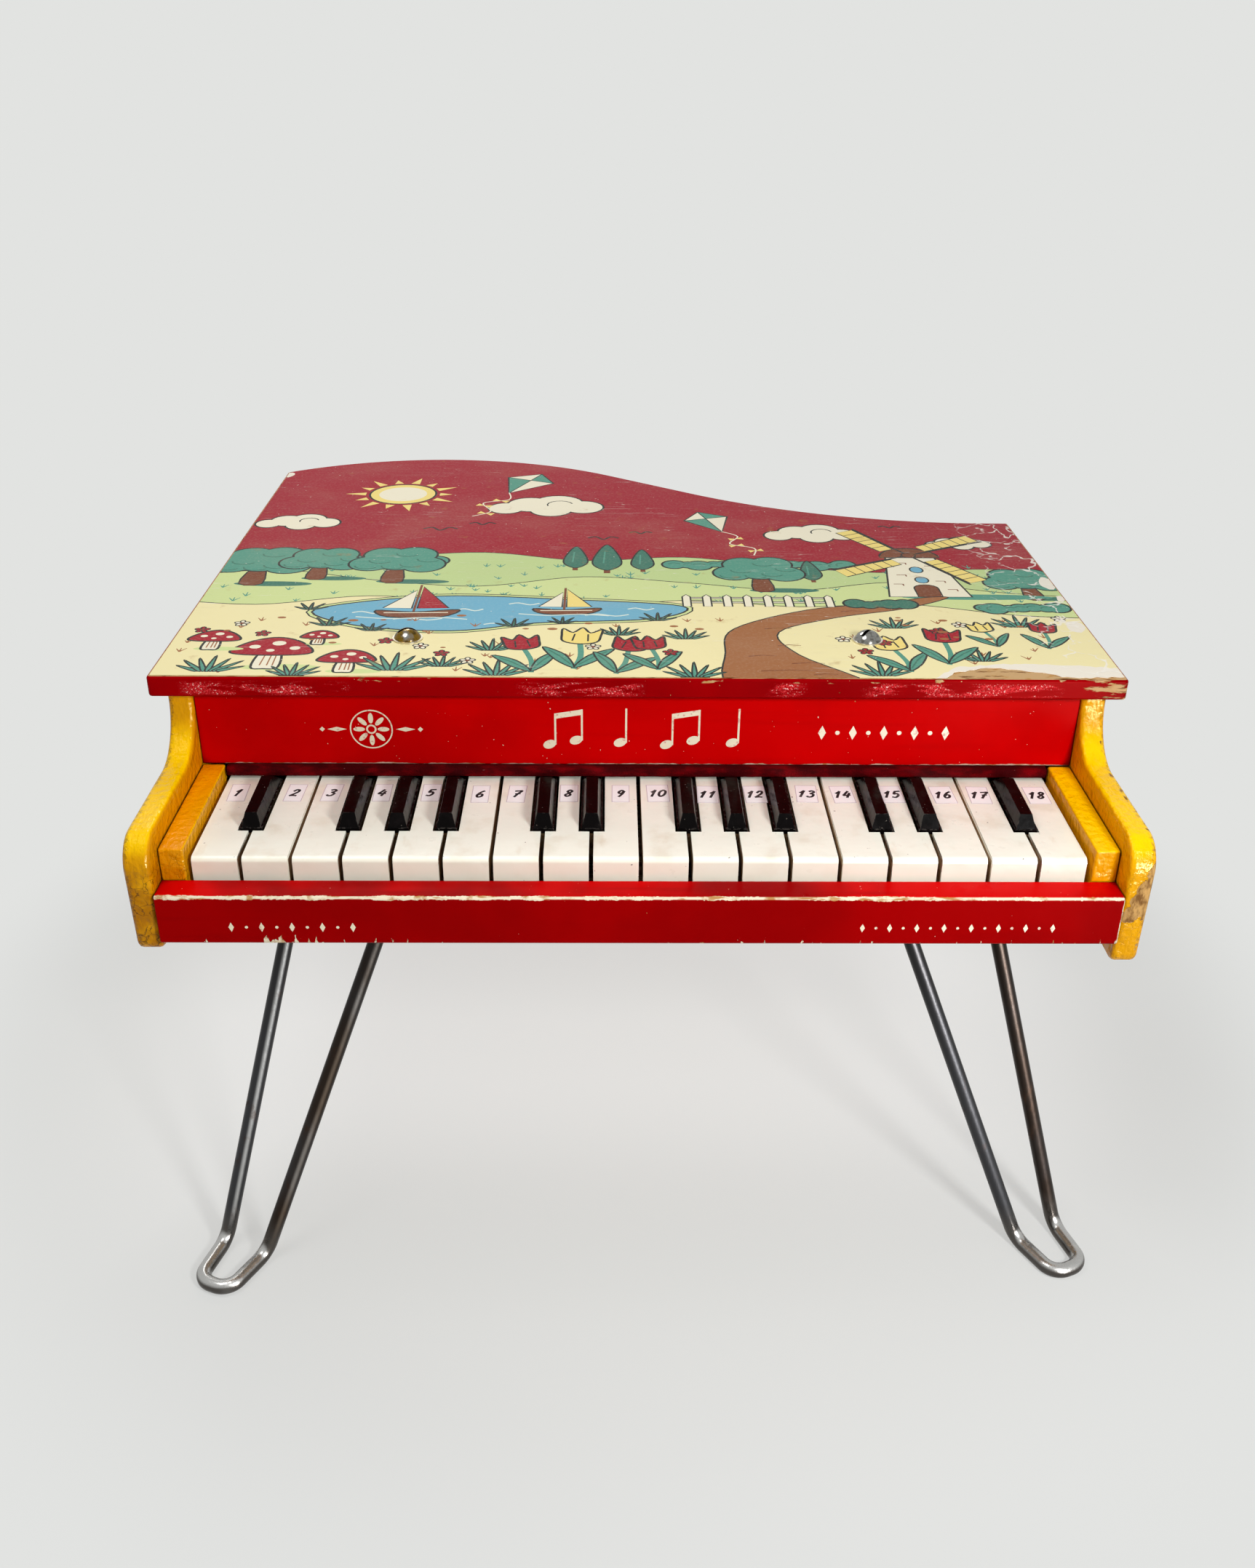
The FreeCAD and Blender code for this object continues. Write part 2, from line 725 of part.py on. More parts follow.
def plate_screw_spots(place):
    centre, heading = place[:2]
    ahead, across = leg_axes(heading)
    half_width = leg_top_spread / 2 + plate_margin - plate_screw_inset
    half_depth = plate_depth / 2 - plate_screw_inset
    return [centre + across * (half_width * i) + ahead * (half_depth * j) for i in (-1, 1) for j in (-1, 1)]


def leg_plates():
    plates = []
    for place in leg_places():
        centre, heading = place[:2]
        ahead, across = leg_axes(heading)
        half_width = across * (leg_top_spread / 2 + plate_margin)
        half_depth = ahead * (plate_depth / 2)
        corners = [centre - half_width - half_depth, centre + half_width - half_depth]
        corners += [centre + half_width + half_depth, centre - half_width + half_depth]
        plates.append(extrude_plan([(c.x, c.y) for c in corners], plate_bottom, base_bottom))
    holes = plate_holes(plate_bottom - overrun, base_bottom + overrun)
    return Part.makeCompound([plate.cut(holes) for plate in plates])


def leg_screws():
    screws = []
    head_radius = wood_screw_head_diameter / 2
    crown_radius = wood_screw_crown_diameter / 2
    shank_radius = wood_screw_diameter / 2
    shank_length = plate_thickness + wood_screw_bite - wood_screw_clearance
    for place in leg_places():
        for spot in plate_screw_spots(place):
            seat = Vector(spot.x, spot.y, plate_bottom)
            head = Part.makeCone(head_radius, crown_radius, wood_screw_head_height, seat, -Z_AXIS)
            screws.append(head.fuse(cylinder(shank_radius, shank_length, seat, Z_AXIS)))
    return Part.makeCompound(screws)


# Every piece by its name
def pieces():
    found = {}
    for number in range(1, white_key_count + 1):
        found[f"white_key_{number:02d}"] = white_key(number)
    for order, white_before in enumerate(black_after, 1):
        found[f"black_key_{order:02d}"] = black_key(white_before)
    found["pivot_rod"] = pivot_rod()
    found["pivot_brackets"] = pivot_brackets()
    found["back_rest_rail"] = back_rest_rail()
    found["back_rest_felt"] = back_rest_felt()
    found["front_stop_felt"] = front_stop_felt()
    found["base_board"] = base_board()
    found["front_rail"] = front_rail()
    found["left_cheek"] = cheek(-cheek_outer, -cheek_inner, left_cheek_drop)
    found["right_cheek"] = cheek(cheek_inner, cheek_outer, right_cheek_drop)
    found["bent_side"] = bent_side()
    found["left_key_block"] = key_block(-cheek_inner, -block_inner)
    found["right_key_block"] = key_block(block_inner, cheek_inner)
    found["nameboard"] = nameboard()
    found["nameboard_felt"] = nameboard_felt()
    found["lid"] = lid()
    found["lid_paper"] = lid_paper()
    found["lid_screws"] = lid_screws()
    found["lid_washers"] = lid_washers()
    found["lid_nuts"] = lid_nuts()
    found["tone_bar"] = tone_bar()
    found["tone_rods"] = tone_rods()
    names = ("front_left_leg", "front_right_leg", "rear_leg")
    for name, place in zip(names, leg_places()):
        found[name] = wire_leg(place)
    found["leg_plates"] = leg_plates()
    found["leg_screws"] = leg_screws()
    return found


def export(found):
    bounds = FreeCAD.BoundBox()
    for shape in found.values():
        bounds.add(shape.optimalBoundingBox(False, False))
    middle = (bounds.YMin + bounds.YMax) / 2
    for name, shape in found.items():
        shape.translate(Y_AXIS * -middle)
        shape.exportStep(f"parts/{name}.step")
    print("nodes", len(found), "size", bounds.XLength, bounds.YLength, bounds.ZLength)
    print("lowest", bounds.ZMin, "key fronts at Y", -middle, "pivot", pivot_y - middle, pivot_z)


os.makedirs("parts", exist_ok=True)
export(pieces())
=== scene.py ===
"""A child's toy grand piano: paint, printed paper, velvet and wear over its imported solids."""
import json
import math
import random

import bpy
import numpy as np
from mathutils import Matrix, Vector, noise
from mathutils.geometry import delaunay_2d_cdt

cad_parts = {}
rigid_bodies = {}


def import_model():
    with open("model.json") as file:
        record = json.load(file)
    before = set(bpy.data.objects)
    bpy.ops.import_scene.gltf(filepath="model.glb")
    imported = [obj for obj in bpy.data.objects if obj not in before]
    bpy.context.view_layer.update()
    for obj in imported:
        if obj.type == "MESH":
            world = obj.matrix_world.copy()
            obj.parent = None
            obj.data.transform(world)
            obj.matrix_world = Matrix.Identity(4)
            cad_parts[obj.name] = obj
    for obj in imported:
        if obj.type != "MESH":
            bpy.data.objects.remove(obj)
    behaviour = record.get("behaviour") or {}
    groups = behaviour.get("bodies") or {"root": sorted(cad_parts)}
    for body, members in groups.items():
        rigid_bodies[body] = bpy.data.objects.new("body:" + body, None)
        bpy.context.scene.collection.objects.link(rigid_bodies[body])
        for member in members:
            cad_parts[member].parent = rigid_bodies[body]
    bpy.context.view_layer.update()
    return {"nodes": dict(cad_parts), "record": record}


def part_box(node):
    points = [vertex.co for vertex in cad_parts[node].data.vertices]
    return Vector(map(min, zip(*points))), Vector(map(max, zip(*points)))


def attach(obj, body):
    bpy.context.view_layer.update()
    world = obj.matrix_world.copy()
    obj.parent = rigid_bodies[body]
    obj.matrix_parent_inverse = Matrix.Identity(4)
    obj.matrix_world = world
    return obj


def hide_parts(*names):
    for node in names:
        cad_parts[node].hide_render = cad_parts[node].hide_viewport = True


for leftover in list(bpy.data.objects):
    bpy.data.objects.remove(leftover)
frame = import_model()
nodes = frame["nodes"]

# Places are in metres; flat drawings and the sizes that a finish is given are in millimetres
MM = 0.001
KEY_TOP = 206 * MM
LEVER_TOP = 204.5 * MM
COVER_LIP = 1.5 * MM
KEY_HEAD_LENGTH = 76 * MM
PAPER_THICKNESS = 0.25 * MM
STICKER_THICKNESS = 0.08 * MM
PAINT_THICKNESS = 0.03 * MM
SEAT = 0.01 * MM
TURN = 2 * math.pi

key_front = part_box("white_key_01")[0].y
lid_low, lid_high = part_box("lid")
paper_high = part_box("lid_paper")[1]
rail_low, rail_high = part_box("front_rail")
board_low, board_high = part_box("nameboard")
arm_low, arm_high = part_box("right_cheek")


def tone(red, green, blue):
    """A linear colour from sRGB values between 0 and 255."""
    def linear(value):
        share = value / 255
        return share / 12.92 if share <= 0.04045 else ((share + 0.055) / 1.055) ** 2.4
    return (linear(red), linear(green), linear(blue), 1.0)


RED = tone(190, 0, 2)
RED_DEEP = tone(158, 0, 2)
RED_HIGHLIGHT = tone(208, 0, 2)
RED_RUBBED = tone(216, 50, 56)
RED_CHALK = tone(238, 200, 194)
YELLOW = tone(255, 202, 0)
YELLOW_SHADED_FACES = tone(230, 156, 2)
YELLOW_DEEP = tone(240, 168, 0)
GRIME_AND_SHADE = tone(70, 36, 0)
PRIMER = tone(236, 224, 196)
IVORY = tone(249, 248, 233)
IVORY_DULL = tone(237, 231, 212)
PAPER = tone(240, 232, 206)
OCHRE = tone(186, 140, 84)
SPLINTER = tone(104, 62, 30)
RED_SHINE = (1.0, 0.12, 0.1, 1.0)
YELLOW_SHINE = (1.0, 0.95, 0.5, 1.0)


def new_piece(name, data):
    piece = bpy.data.objects.new(name, data)
    bpy.context.collection.objects.link(piece)
    return piece


def add_modifier(piece, name, kind, **settings):
    made = piece.modifiers.new(name, kind)
    for setting, value in settings.items():
        setattr(made, setting, value)


# Materials
class Value:
    """What a node gives out. Arithmetic with it adds nodes."""

    def __init__(self, graph, socket):
        self.graph = graph
        self.socket = socket

    def math(self, operation, other=0.0):
        return self.graph.value("ShaderNodeMath", {0: self, 1: other}, operation=operation)

    def __add__(self, other):
        return self.math("ADD", other)

    def __mul__(self, other):
        return self.math("MULTIPLY", other)

    def __sub__(self, other):
        return self.math("SUBTRACT", other)

    def __rsub__(self, other):
        return self.graph.value("ShaderNodeMath", {0: other, 1: self}, operation="SUBTRACT")

    def most(self, *others):
        """The largest of several."""
        top = self
        for other in others:
            top = top.math("MAXIMUM", other)
        return top

    def between(self, low, high):
        """0 at low and 1 at high, which may be the smaller, with a soft step between them."""
        limits = {"Value": self, "From Min": low, "From Max": high}
        return self.graph.value("ShaderNodeMapRange", limits, interpolation_type="SMOOTHSTEP")

    def between_mm(self, low, high, base=0.0):
        """between() for a place, in millimetres from base."""
        return self.between(base + low * MM, base + high * MM)

    def within(self, low, high, soft):
        """1 from low to high, with soft steps at both."""
        return self.between(low - soft, low + soft) * self.between(high + soft, high - soft)

    def spread(self, low, high):
        """The 0 to 1 of a value laid out between low and high."""
        return self * (high - low) + low


class Graph:
    """A node tree under construction."""

    def __init__(self, tree):
        self.tree = tree

    def add(self, kind, inputs=None, **settings):
        made = self.tree.nodes.new(kind)
        for name, value in settings.items():
            setattr(made, name, value)
        for socket, value in (inputs or {}).items():
            self.give(made.inputs[socket], value)
        return made

    def give(self, socket, value):
        if isinstance(value, Value):
            value = value.socket
        if isinstance(value, bpy.types.NodeSocket):
            self.tree.links.new(value, socket)
        else:
            socket.default_value = value

    def value(self, kind, inputs=None, output=0, **settings):
        return Value(self, self.add(kind, inputs, **settings).outputs[output])

    def split(self, vector):
        return [Value(self, part) for part in self.add("ShaderNodeSeparateXYZ", {0: vector}).outputs]

    def seen(self):
        """1 for rays that show the background, by themselves or in a reflection."""
        path = self.add("ShaderNodeLightPath").outputs
        return Value(self, path["Is Camera Ray"]).most(path["Is Glossy Ray"], path["Is Transmission Ray"])


class Finish(Graph):
    """A material under construction. Each coat goes over its colour so far."""

    def __init__(self, name, colour=None):
        self.material = bpy.data.materials.new(name)
        self.material.use_nodes = True
        super().__init__(self.material.node_tree)
        self.surface = self.tree.nodes["Principled BSDF"]
        self.colour = colour
        self.place = self.add("ShaderNodeTexCoord").outputs["Object"]
        self.x, self.y, self.z = self.split(self.place)
        self.normal = self.add("ShaderNodeNewGeometry").outputs["Normal"]
        self.sideways, _forward, self.upward = self.split(self.normal)

    def blend(self, under, over, share):
        return self.value("ShaderNodeMix", {0: share, 6: under, 7: over}, 2, data_type="RGBA")

    def coat(self, colour, share):
        self.colour = self.blend(self.colour, colour, share)

    def finish(self, **values):
        for name, value in values.items():
            self.give(self.surface.inputs[name.replace("_", " ")], value)
        self.give(self.surface.inputs["Base Color"], self.colour)
        return self.material

    def noise(self, size, detail=3.0, stretch=(1, 1, 1), shift=0.0):
        """Soft random values around a half, in blotches of about that size."""
        spot = self.add("ShaderNodeMapping", {"Vector": self.place, "Scale": stretch,
                                              "Location": (shift, shift, shift)})
        return self.value("ShaderNodeTexNoise", {"Vector": spot.outputs[0], "Scale": 1 / (size * MM),
                                                 "Detail": detail, "Roughness": 0.55})

    def cracks(self, size):
        """Distance from the borders of random cells, as a share of their size."""
        size *= MM
        spot = self.add("ShaderNodeMapping", {"Vector": self.place}).outputs[0]
        bent = self.add("ShaderNodeTexNoise", {"Vector": spot, "Scale": 1.5 / size}).outputs["Color"]
        moved = self.value("ShaderNodeVectorMath", {0: bent, 1: (size, size, size)}, operation="MULTIPLY")
        moved = self.value("ShaderNodeVectorMath", {0: spot, 1: moved})
        return self.value("ShaderNodeTexVoronoi", {"Vector": moved, "Scale": 1 / size}, "Distance",
                          feature="DISTANCE_TO_EDGE")

    def crevices(self, reach):
        """1 in tight corners, 0 in the open: the mask for painted shade."""
        found = self.value("ShaderNodeAmbientOcclusion", {"Distance": reach * MM}, "AO", samples=8)
        return found.between(0.72, 0.3)

    def edges(self, radius):
        """1 along sharp edges."""
        soft = self.value("ShaderNodeBevel", {"Radius": radius * MM}, samples=6)
        alike = self.value("ShaderNodeVectorMath", {0: soft, 1: self.normal}, "Value",
                           operation="DOT_PRODUCT")
        return alike.between(0.985, 0.8)

    def bump(self, height, depth):
        return self.value("ShaderNodeBump", {"Height": height, "Distance": depth * MM})


def wood_colour(f, stretch):
    """Raw softwood, its grain along the axis with the smallest stretch."""
    grain = f.noise(4, 6, stretch).between(0.42, 0.68)
    pores = f.noise(1.2, 4, stretch).between(0.5, 0.75)
    return f.blend(f.blend(tone(216, 178, 124), tone(146, 100, 58), grain), tone(238, 216, 174), pores)


def bare_wood(name, stretch):
    f = Finish(name)
    f.colour = wood_colour(f, stretch)
    grain = f.noise(1.5, 5, stretch)
    return f.finish(Roughness=grain.spread(0.5, 0.8), Normal=f.bump(grain, 0.12))


def red_enamel(name, red=RED, deep=RED_DEEP, painted_highlight=None, worn=None, rubbed=None, raw=PRIMER, dark=OCHRE):
    """Old gloss paint. Masks give a painted highlight in brighter red, bare wood, and chalky rubbing."""
    f = Finish(name, red)
    if painted_highlight:
        # Painted highlight: brighter red where the first mask is 1.
        f.coat(RED_HIGHLIGHT, painted_highlight(f))
    f.coat(deep, f.noise(60).between(0.38, 0.68))
    f.coat(deep, f.noise(5, stretch=(0.06, 1, 1)).between(0.5, 0.75) * 0.45)
    specks = f.noise(0.9, 0).between(0.885, 0.895)
    bare = specks.most(f.edges(0.9) * f.noise(3, 5).between(0.6, 0.66))
    if worn:
        bare = bare.most(worn(f))
    if rubbed:
        rub = rubbed(f)
        f.coat(RED_RUBBED, rub)
        f.coat(RED_CHALK, rub * f.noise(0.8, 1, shift=6.0).between(0.6, 0.66))
    aged = f.blend(raw, OCHRE, f.noise(6, 5, shift=3.0).between(0.52, 0.68))
    f.coat(f.blend(aged, dark, f.noise(2, 6, (0.2, 1, 1), 7.0).between(0.54, 0.66)), bare)
    # Painted shade: darker red in tight corners.
    f.coat(tone(60, 0, 4), f.crevices(5) * 0.7)
    gloss = f.noise(14, 5).spread(0.2, 0.42)
    height = f.noise(3, 4) * 0.5 - bare
    return f.finish(Roughness=gloss.most(bare * 0.7), Specular_IOR_Level=0.03,
                    Specular_Tint=RED_SHINE, Normal=f.bump(height, 0.14))


def board_wear(f):
    """A thin rubbed line along the nameboard's lower edge."""
    rise = f.z - board_low.z + (f.y - board_low.y)
    uneven = (f.noise(9, 6) - 0.3) * (2.6 * MM)
    return (rise - uneven).between_mm(0.3, 0.05) * 0.75


def rail_glow(f):
    """A painted highlight: the rail's top is the brightest."""
    return f.z.between_mm(-1.2, -0.4, rail_high.z)


def rail_wear(f):
    """The rail's top edge is rubbed to the wood, its lower edge is torn and its right end nicked."""
    inward = f.y - rail_low.y
    uneven = (f.noise(16, 7) - 0.16) * (2.6 * MM) + (f.noise(1.4) - 0.5) * (1.2 * MM)
    top = rail_high.z - f.z + inward - uneven.most(0.85 * MM)
    cluster = f.x.within(-150 * MM, -126 * MM, 3 * MM)
    rise = (f.z - rail_low.z + inward) * 42.0
    spikes = f.noise(1.9, 5, (1, 0.3, 0.28), 2.0) - rise
    tears = (spikes + cluster * 0.12).between(0.58, 0.61)
    end = rail_high.x - f.x + inward - f.noise(6, 5) * (0.8 * MM)
    return top.between_mm(0.3, 0.05).most(tears, end.between_mm(0.2, 0))


def lid_wear(f):
    """Raw wood under the paper, nicks along the front edge, and a splintered right corner."""
    inward = f.y - lid_low.y
    under_paper = f.z.between_mm(-0.12, -0.04, lid_high.z)
    edge = (lid_high.z - f.z + inward).between_mm(2.2, 1.6)
    nicks = f.x.between_mm(20, 200) * 0.1 + f.noise(6, 6, (0.35, 1, 1))
    corner = (lid_high.x - f.x + inward).between_mm(34, 8)
    splinters = corner * 0.36 + f.noise(4, 7, (0.3, 1, 1.4), 5.0)
    return under_paper.most(edge * nicks.between(0.65, 0.68), splinters.between(0.83, 0.88))


# Middle and half length of each rubbed patch, in millimetres
LID_RUBS = ((-158, 33), (-25, 24), (62, 6), (137, 40))


def lid_rubs(f):
    """Chalky rubbed patches along the lid's front edge."""
    patch, *others = [f.x.within((middle - half) * MM, (middle + half) * MM, 4 * MM)
                      for middle, half in LID_RUBS]
    band = f.z.within(lid_low.z + 1.5 * MM, lid_high.z - 2.2 * MM, 0.8 * MM)
    dry = f.noise(6, 8, (0.3, 1, 1.6)).between(0.46, 0.54)
    grain = f.noise(0.6, 2).between(0.44, 0.56)
    return patch.most(*others) * band * (dry * grain.spread(0.15, 1.0))


def yellow_enamel(name, yellow=YELLOW, side=YELLOW_DEEP, worn=None, soil_and_shade=0.0):
    """Thick brushed paint, pitted, with painted shade in its corners. side paints light and shade on the faces
    towards the keys.
    """
    f = Finish(name, yellow)
    # Painted light and shade: faces towards the keys take the side colour, darker on most parts, brighter on
    # the left block.
    f.coat(side, (f.x.math("SIGN") * f.sideways).between(-0.5, -0.85))
    # Painted shade: faces that do not look up are a darker orange.
    f.coat(YELLOW_SHADED_FACES, f.upward.between(0.8, 0.3) * 0.8)
    f.coat(YELLOW_DEEP, f.noise(34).between(0.5, 0.85) * 0.5)
    lumps = f.noise(3.4, 1.5)
    f.coat(YELLOW_DEEP, lumps.between(0.46, 0.34) * 0.15)
    pits = f.noise(1.1, 2, shift=1.0).between(0.75, 0.78)
    outer = f.x.math("ABSOLUTE").between_mm(-3.2, -1.4, arm_high.x)
    rim = outer * f.sideways.math("ABSOLUTE").between(0.97, 0.75)
    marks = pits.most(rim * f.noise(1.9, 5, shift=2.0).between(0.53, 0.6) * 0.45)
    if soil_and_shade:
        front = f.y.between_mm(16, -6, key_front)
        low_front = f.z.between_mm(222, 198) * front
        crackle = f.cracks(4.5).between(0.035, 0.012) * f.noise(12, 5).between(0.42, 0.56)
        marks = marks.most(crackle * low_front * soil_and_shade)
        # Darker orange low on the front: dirt and painted shade.
        f.coat(tone(176, 108, 0), low_front * soil_and_shade * f.noise(9, 6, shift=3.0).between(0.25, 0.6))
    f.coat(GRIME_AND_SHADE, marks * 0.75)
    # Painted shade in tight corners.
    f.coat(GRIME_AND_SHADE, f.crevices(1.4) * 0.8)
    bare = worn(f) if worn else 0.0
    grain = f.noise(2.2, 6, (1, 1, 0.4)).between(0.42, 0.66)
    f.coat(f.blend(tone(196, 150, 88), tone(116, 70, 26), grain), bare)
    strokes = f.noise(1.8, stretch=(1, 0.3, 0.3))
    fine = f.noise(0.9, 2, shift=4.0)
    height = lumps + strokes * 0.6 + (fine * 0.2 - marks.most(bare) * 0.5)
    return f.finish(Roughness=strokes.spread(0.08, 0.24).most(bare * 0.8), Specular_IOR_Level=0.14,
                    Specular_Tint=YELLOW_SHINE, Normal=f.bump(height, 0.8))


def arm_wear(f):
    """A rubbed patch on the outer front of the right arm, and chips up its outer edge."""
    outer = (f.x - f.z * 0.32).between_mm(-74, -67, arm_high.x)
    front = f.y.between_mm(16, 9, arm_low.y)
    patch = outer * front * f.z.within(184 * MM, 214 * MM, 5 * MM)
    rim = f.x.between_mm(-3.6, -1.8, arm_high.x) * f.sideways.between(0.97, 0.75)
    chips = rim * f.z.between_mm(232, 226) * 0.24
    return ((patch * 0.5).most(chips) + f.noise(5, 7)).between(0.8, 0.87)


def key_cover(f):
    """1 on what is glued on top of a key's lever."""
    back = key_front + KEY_HEAD_LENGTH
    return f.z.between_mm(-0.03, 0, LEVER_TOP) * f.y.between_mm(4, 2, back)


def over_lever(f, cover, rough):
    """Keeps the colour so far where cover is 1, on a lever of dark wood. Gives back the roughness."""
    wood = f.blend(wood_colour(f, (1, 0.06, 1)), tone(66, 38, 22), 0.65)
    f.colour = f.blend(wood, f.colour, cover)
    return rough.most((1.0 - cover) * 0.75)


def ivory_covers(name):
    """Celluloid key covers over wooden levers."""
    f = Finish(name, IVORY)
    lip = f.y.between_mm(0.04, 0.02, key_front + COVER_LIP)
    front = lip * f.z.between_mm(-0.4, -0.9, KEY_TOP)
    f.coat(IVORY_DULL, f.noise(16, 4).between(0.5, 0.75))
    f.coat(tone(214, 196, 166), f.noise(9, 7, (1, 0.35, 1)).between(0.6, 0.75) * 0.4)
    f.coat(tone(250, 246, 226), front * f.noise(5, 6, shift=4.0).spread(0.4, 1.0))
    f.coat(tone(96, 70, 58), f.noise(2.4, 1, shift=9.0).between(0.77, 0.8) * 0.8)
    rough = over_lever(f, key_cover(f).most(lip), f.noise(8, 6).spread(0.2, 0.42))
    return f.finish(Roughness=rough, Normal=f.bump(f.noise(11, 2), 0.35))


def ebony_caps(name):
    """Lacquered black caps over wooden levers."""
    f = Finish(name, tone(7, 5, 5))
    f.coat(tone(20, 16, 16), f.noise(7, 5).between(0.5, 0.75))
    # Pale grey along the edges: worn lacquer and a painted highlight.
    f.coat(tone(120, 112, 106), f.edges(0.6) * f.noise(2.2, 5).between(0.5, 0.62) * 0.55)
    f.coat(tone(150, 140, 130), f.noise(1.1, 1).between(0.76, 0.79) * 0.6)
    rough = over_lever(f, key_cover(f), f.noise(4, 6).spread(0.1, 0.3))
    shine = f.sideways.math("ABSOLUTE").between(0.5, 0.8).spread(0.04, 0.07)
    return f.finish(Roughness=rough, Specular_IOR_Level=shine, Normal=f.bump(f.noise(6), 0.2))


def leg_middle(node, low, high):
    """The middle of a leg's two wires between two heights."""
    spots = [v.co.x for v in nodes[node].data.vertices if low < v.co.z < high]
    return (min(spots) + max(spots)) / 2


def leg_wire(name, node):
    """Drawn steel wire, brown on the right of each leg, worn bright at the feet, with painted highlight and
    shade.
    """
    f = Finish(name)
    foot_x = leg_middle(node, -1 * MM, 9 * MM)
    top_x = leg_middle(node, 168 * MM, 180 * MM)
    across = f.x - (f.z * ((top_x - foot_x) / (174 * MM)) + foot_x)
    patina = f.noise(30, 4, (1, 1, 0.3)).between(0.35, 0.6)
    brown = across.between_mm(-2, 2) * patina.spread(0.45, 1.0)
    # Painted highlight: a light streak along the right-facing side of the wires of the left and rear legs.
    worn = f.sideways.within(0.1, 0.55, 0.2) * f.x.between_mm(20, -20)
    steel = f.blend(tone(56, 56, 58), tone(154, 154, 153), worn)
    f.colour = f.blend(steel, f.blend(tone(42, 33, 27), tone(92, 80, 69), worn), brown)
    rust = f.noise(5, 7, (1, 1, 0.5), 2.0).between(0.58, 0.74)
    f.coat(tone(52, 34, 22), rust * 0.7)
    # Painted shade: darker towards the top, under the body.
    f.coat(tone(24, 21, 19), f.z.between_mm(60, 175) * 0.62)
    foot = f.z.between_mm(24, 6)
    # Feet worn bright, with a painted highlight on their upward faces.
    foot_polish_and_highlight = f.blend(tone(84, 80, 76), tone(196, 195, 193), f.upward.between(0.4, 0.8))
    f.coat(foot_polish_and_highlight, foot * 0.85)
    rough = f.noise(0.8, stretch=(1, 1, 0.04)).spread(0.3, 0.44) + rust * 0.2 - foot * 0.12
    return f.finish(Metallic=0.9, Roughness=rough, Normal=f.bump(f.noise(2.5, 5, (1, 1, 0.4)), 0.1))


def screw_metal(name):
    """Tarnished nickel plate, on the left screw worn through to brass."""
    f = Finish(name, tone(146, 145, 141))
    f.coat(tone(132, 102, 34), f.x.between_mm(0, -20) * f.noise(6, 4).between(0.3, 0.46))
    dull = f.noise(2.5, 6).between(0.48, 0.66)
    f.coat(tone(48, 40, 26), dull * 0.7)
    # Painted shade in the slot and other tight corners.
    f.coat(tone(10, 8, 6), f.crevices(2.2))
    return f.finish(Metallic=1.0, Roughness=dull.spread(0.1, 0.25), Normal=f.bump(f.noise(1.2, 4), 0.04))


def plain_metal(name, bright, dark, roughness, depth):
    f = Finish(name, bright)
    f.coat(dark, f.noise(12, 5).between(0.4, 0.7))
    cast = f.noise(2.5, 6)
    return f.finish(Metallic=0.9, Roughness=cast.spread(roughness - 0.1, roughness + 0.15),
                    Normal=f.bump(cast, depth))


def pile(name, dark, light):
    """Velvet or felt: short fibres lying in streaks, with pale lint."""
    f = Finish(name, dark)
    f.coat(light, f.noise(6, 6, (0.5, 1.2, 1.2)).between(0.4, 0.75))
    f.coat(tone(168, 120, 116), f.noise(1.4, 3, (0.5, 1, 1), 4.0).between(0.74, 0.77) * 0.6)
    fibres = f.noise(0.7, 4)
    return f.finish(Roughness=fibres.spread(0.8, 1.0), Specular_IOR_Level=0.05, Sheen_Weight=0.12,
                    Sheen_Roughness=0.4, Sheen_Tint=light, Normal=f.bump(fibres, 0.5))


def inked(name):
    """A finish that starts from the inks of a drawn sheet."""
    f = Finish(name)
    f.colour = f.value("ShaderNodeAttribute", output="Color", attribute_name="ink")
    return f


def lithograph(name):
    """Old colour print on paper: mottled, foxed, scratched, and cracked towards the right edge."""
    f = inked(name)
    f.coat(PAPER, f.noise(1.3, 4).between(0.45, 0.72) * 0.06)
    f.coat(tone(214, 190, 160), f.noise(55, 5).between(0.45, 0.75) * 0.07)
    f.coat(tone(170, 122, 62), f.noise(10, 7, shift=6.0).between(0.62, 0.78) * 0.4)
    lines = f.noise(3, 1, (0.03, 1, 1), 2.0).within(0.497, 0.503, 0.002)
    scratches = lines * f.noise(30).between(0.52, 0.62)
    near_end = f.x.between_mm(-46, -8, paper_high.x)
    splits = f.cracks(17).between(0.035, 0.012) * f.noise(9).between(0.42, 0.52)
    specks = f.noise(1.6, 1, shift=8.0).between(0.78, 0.8)
    lost = (splits * near_end).most(scratches * 0.7, specks)
    f.coat(tone(240, 234, 222), lost * 0.85)
    gloss = f.noise(20, 6).spread(0.3, 0.5)
    return f.finish(Roughness=gloss.most(lost * 0.8), Specular_IOR_Level=0.05,
                    Normal=f.bump(f.noise(9, 4) + lost * -0.4, 0.16))


def sticker_paper(name):
    f = inked(name)
    f.coat(tone(222, 204, 194), f.noise(7, 5).between(0.5, 0.75) * 0.15)
    fibres = f.noise(0.8, 4)
    return f.finish(Roughness=fibres.spread(0.55, 0.8), Normal=f.bump(fibres, 0.03))


def stencil_paint(name):
    """Cream paint worn thin enough to let the red through."""
    f = inked(name)
    thin = f.noise(2.2, 6).between(0.56, 0.68)
    f.coat(RED, thin * 0.55)
    return f.finish(Roughness=thin.spread(0.4, 0.6), Normal=f.bump(f.noise(1.5, 4), 0.05))


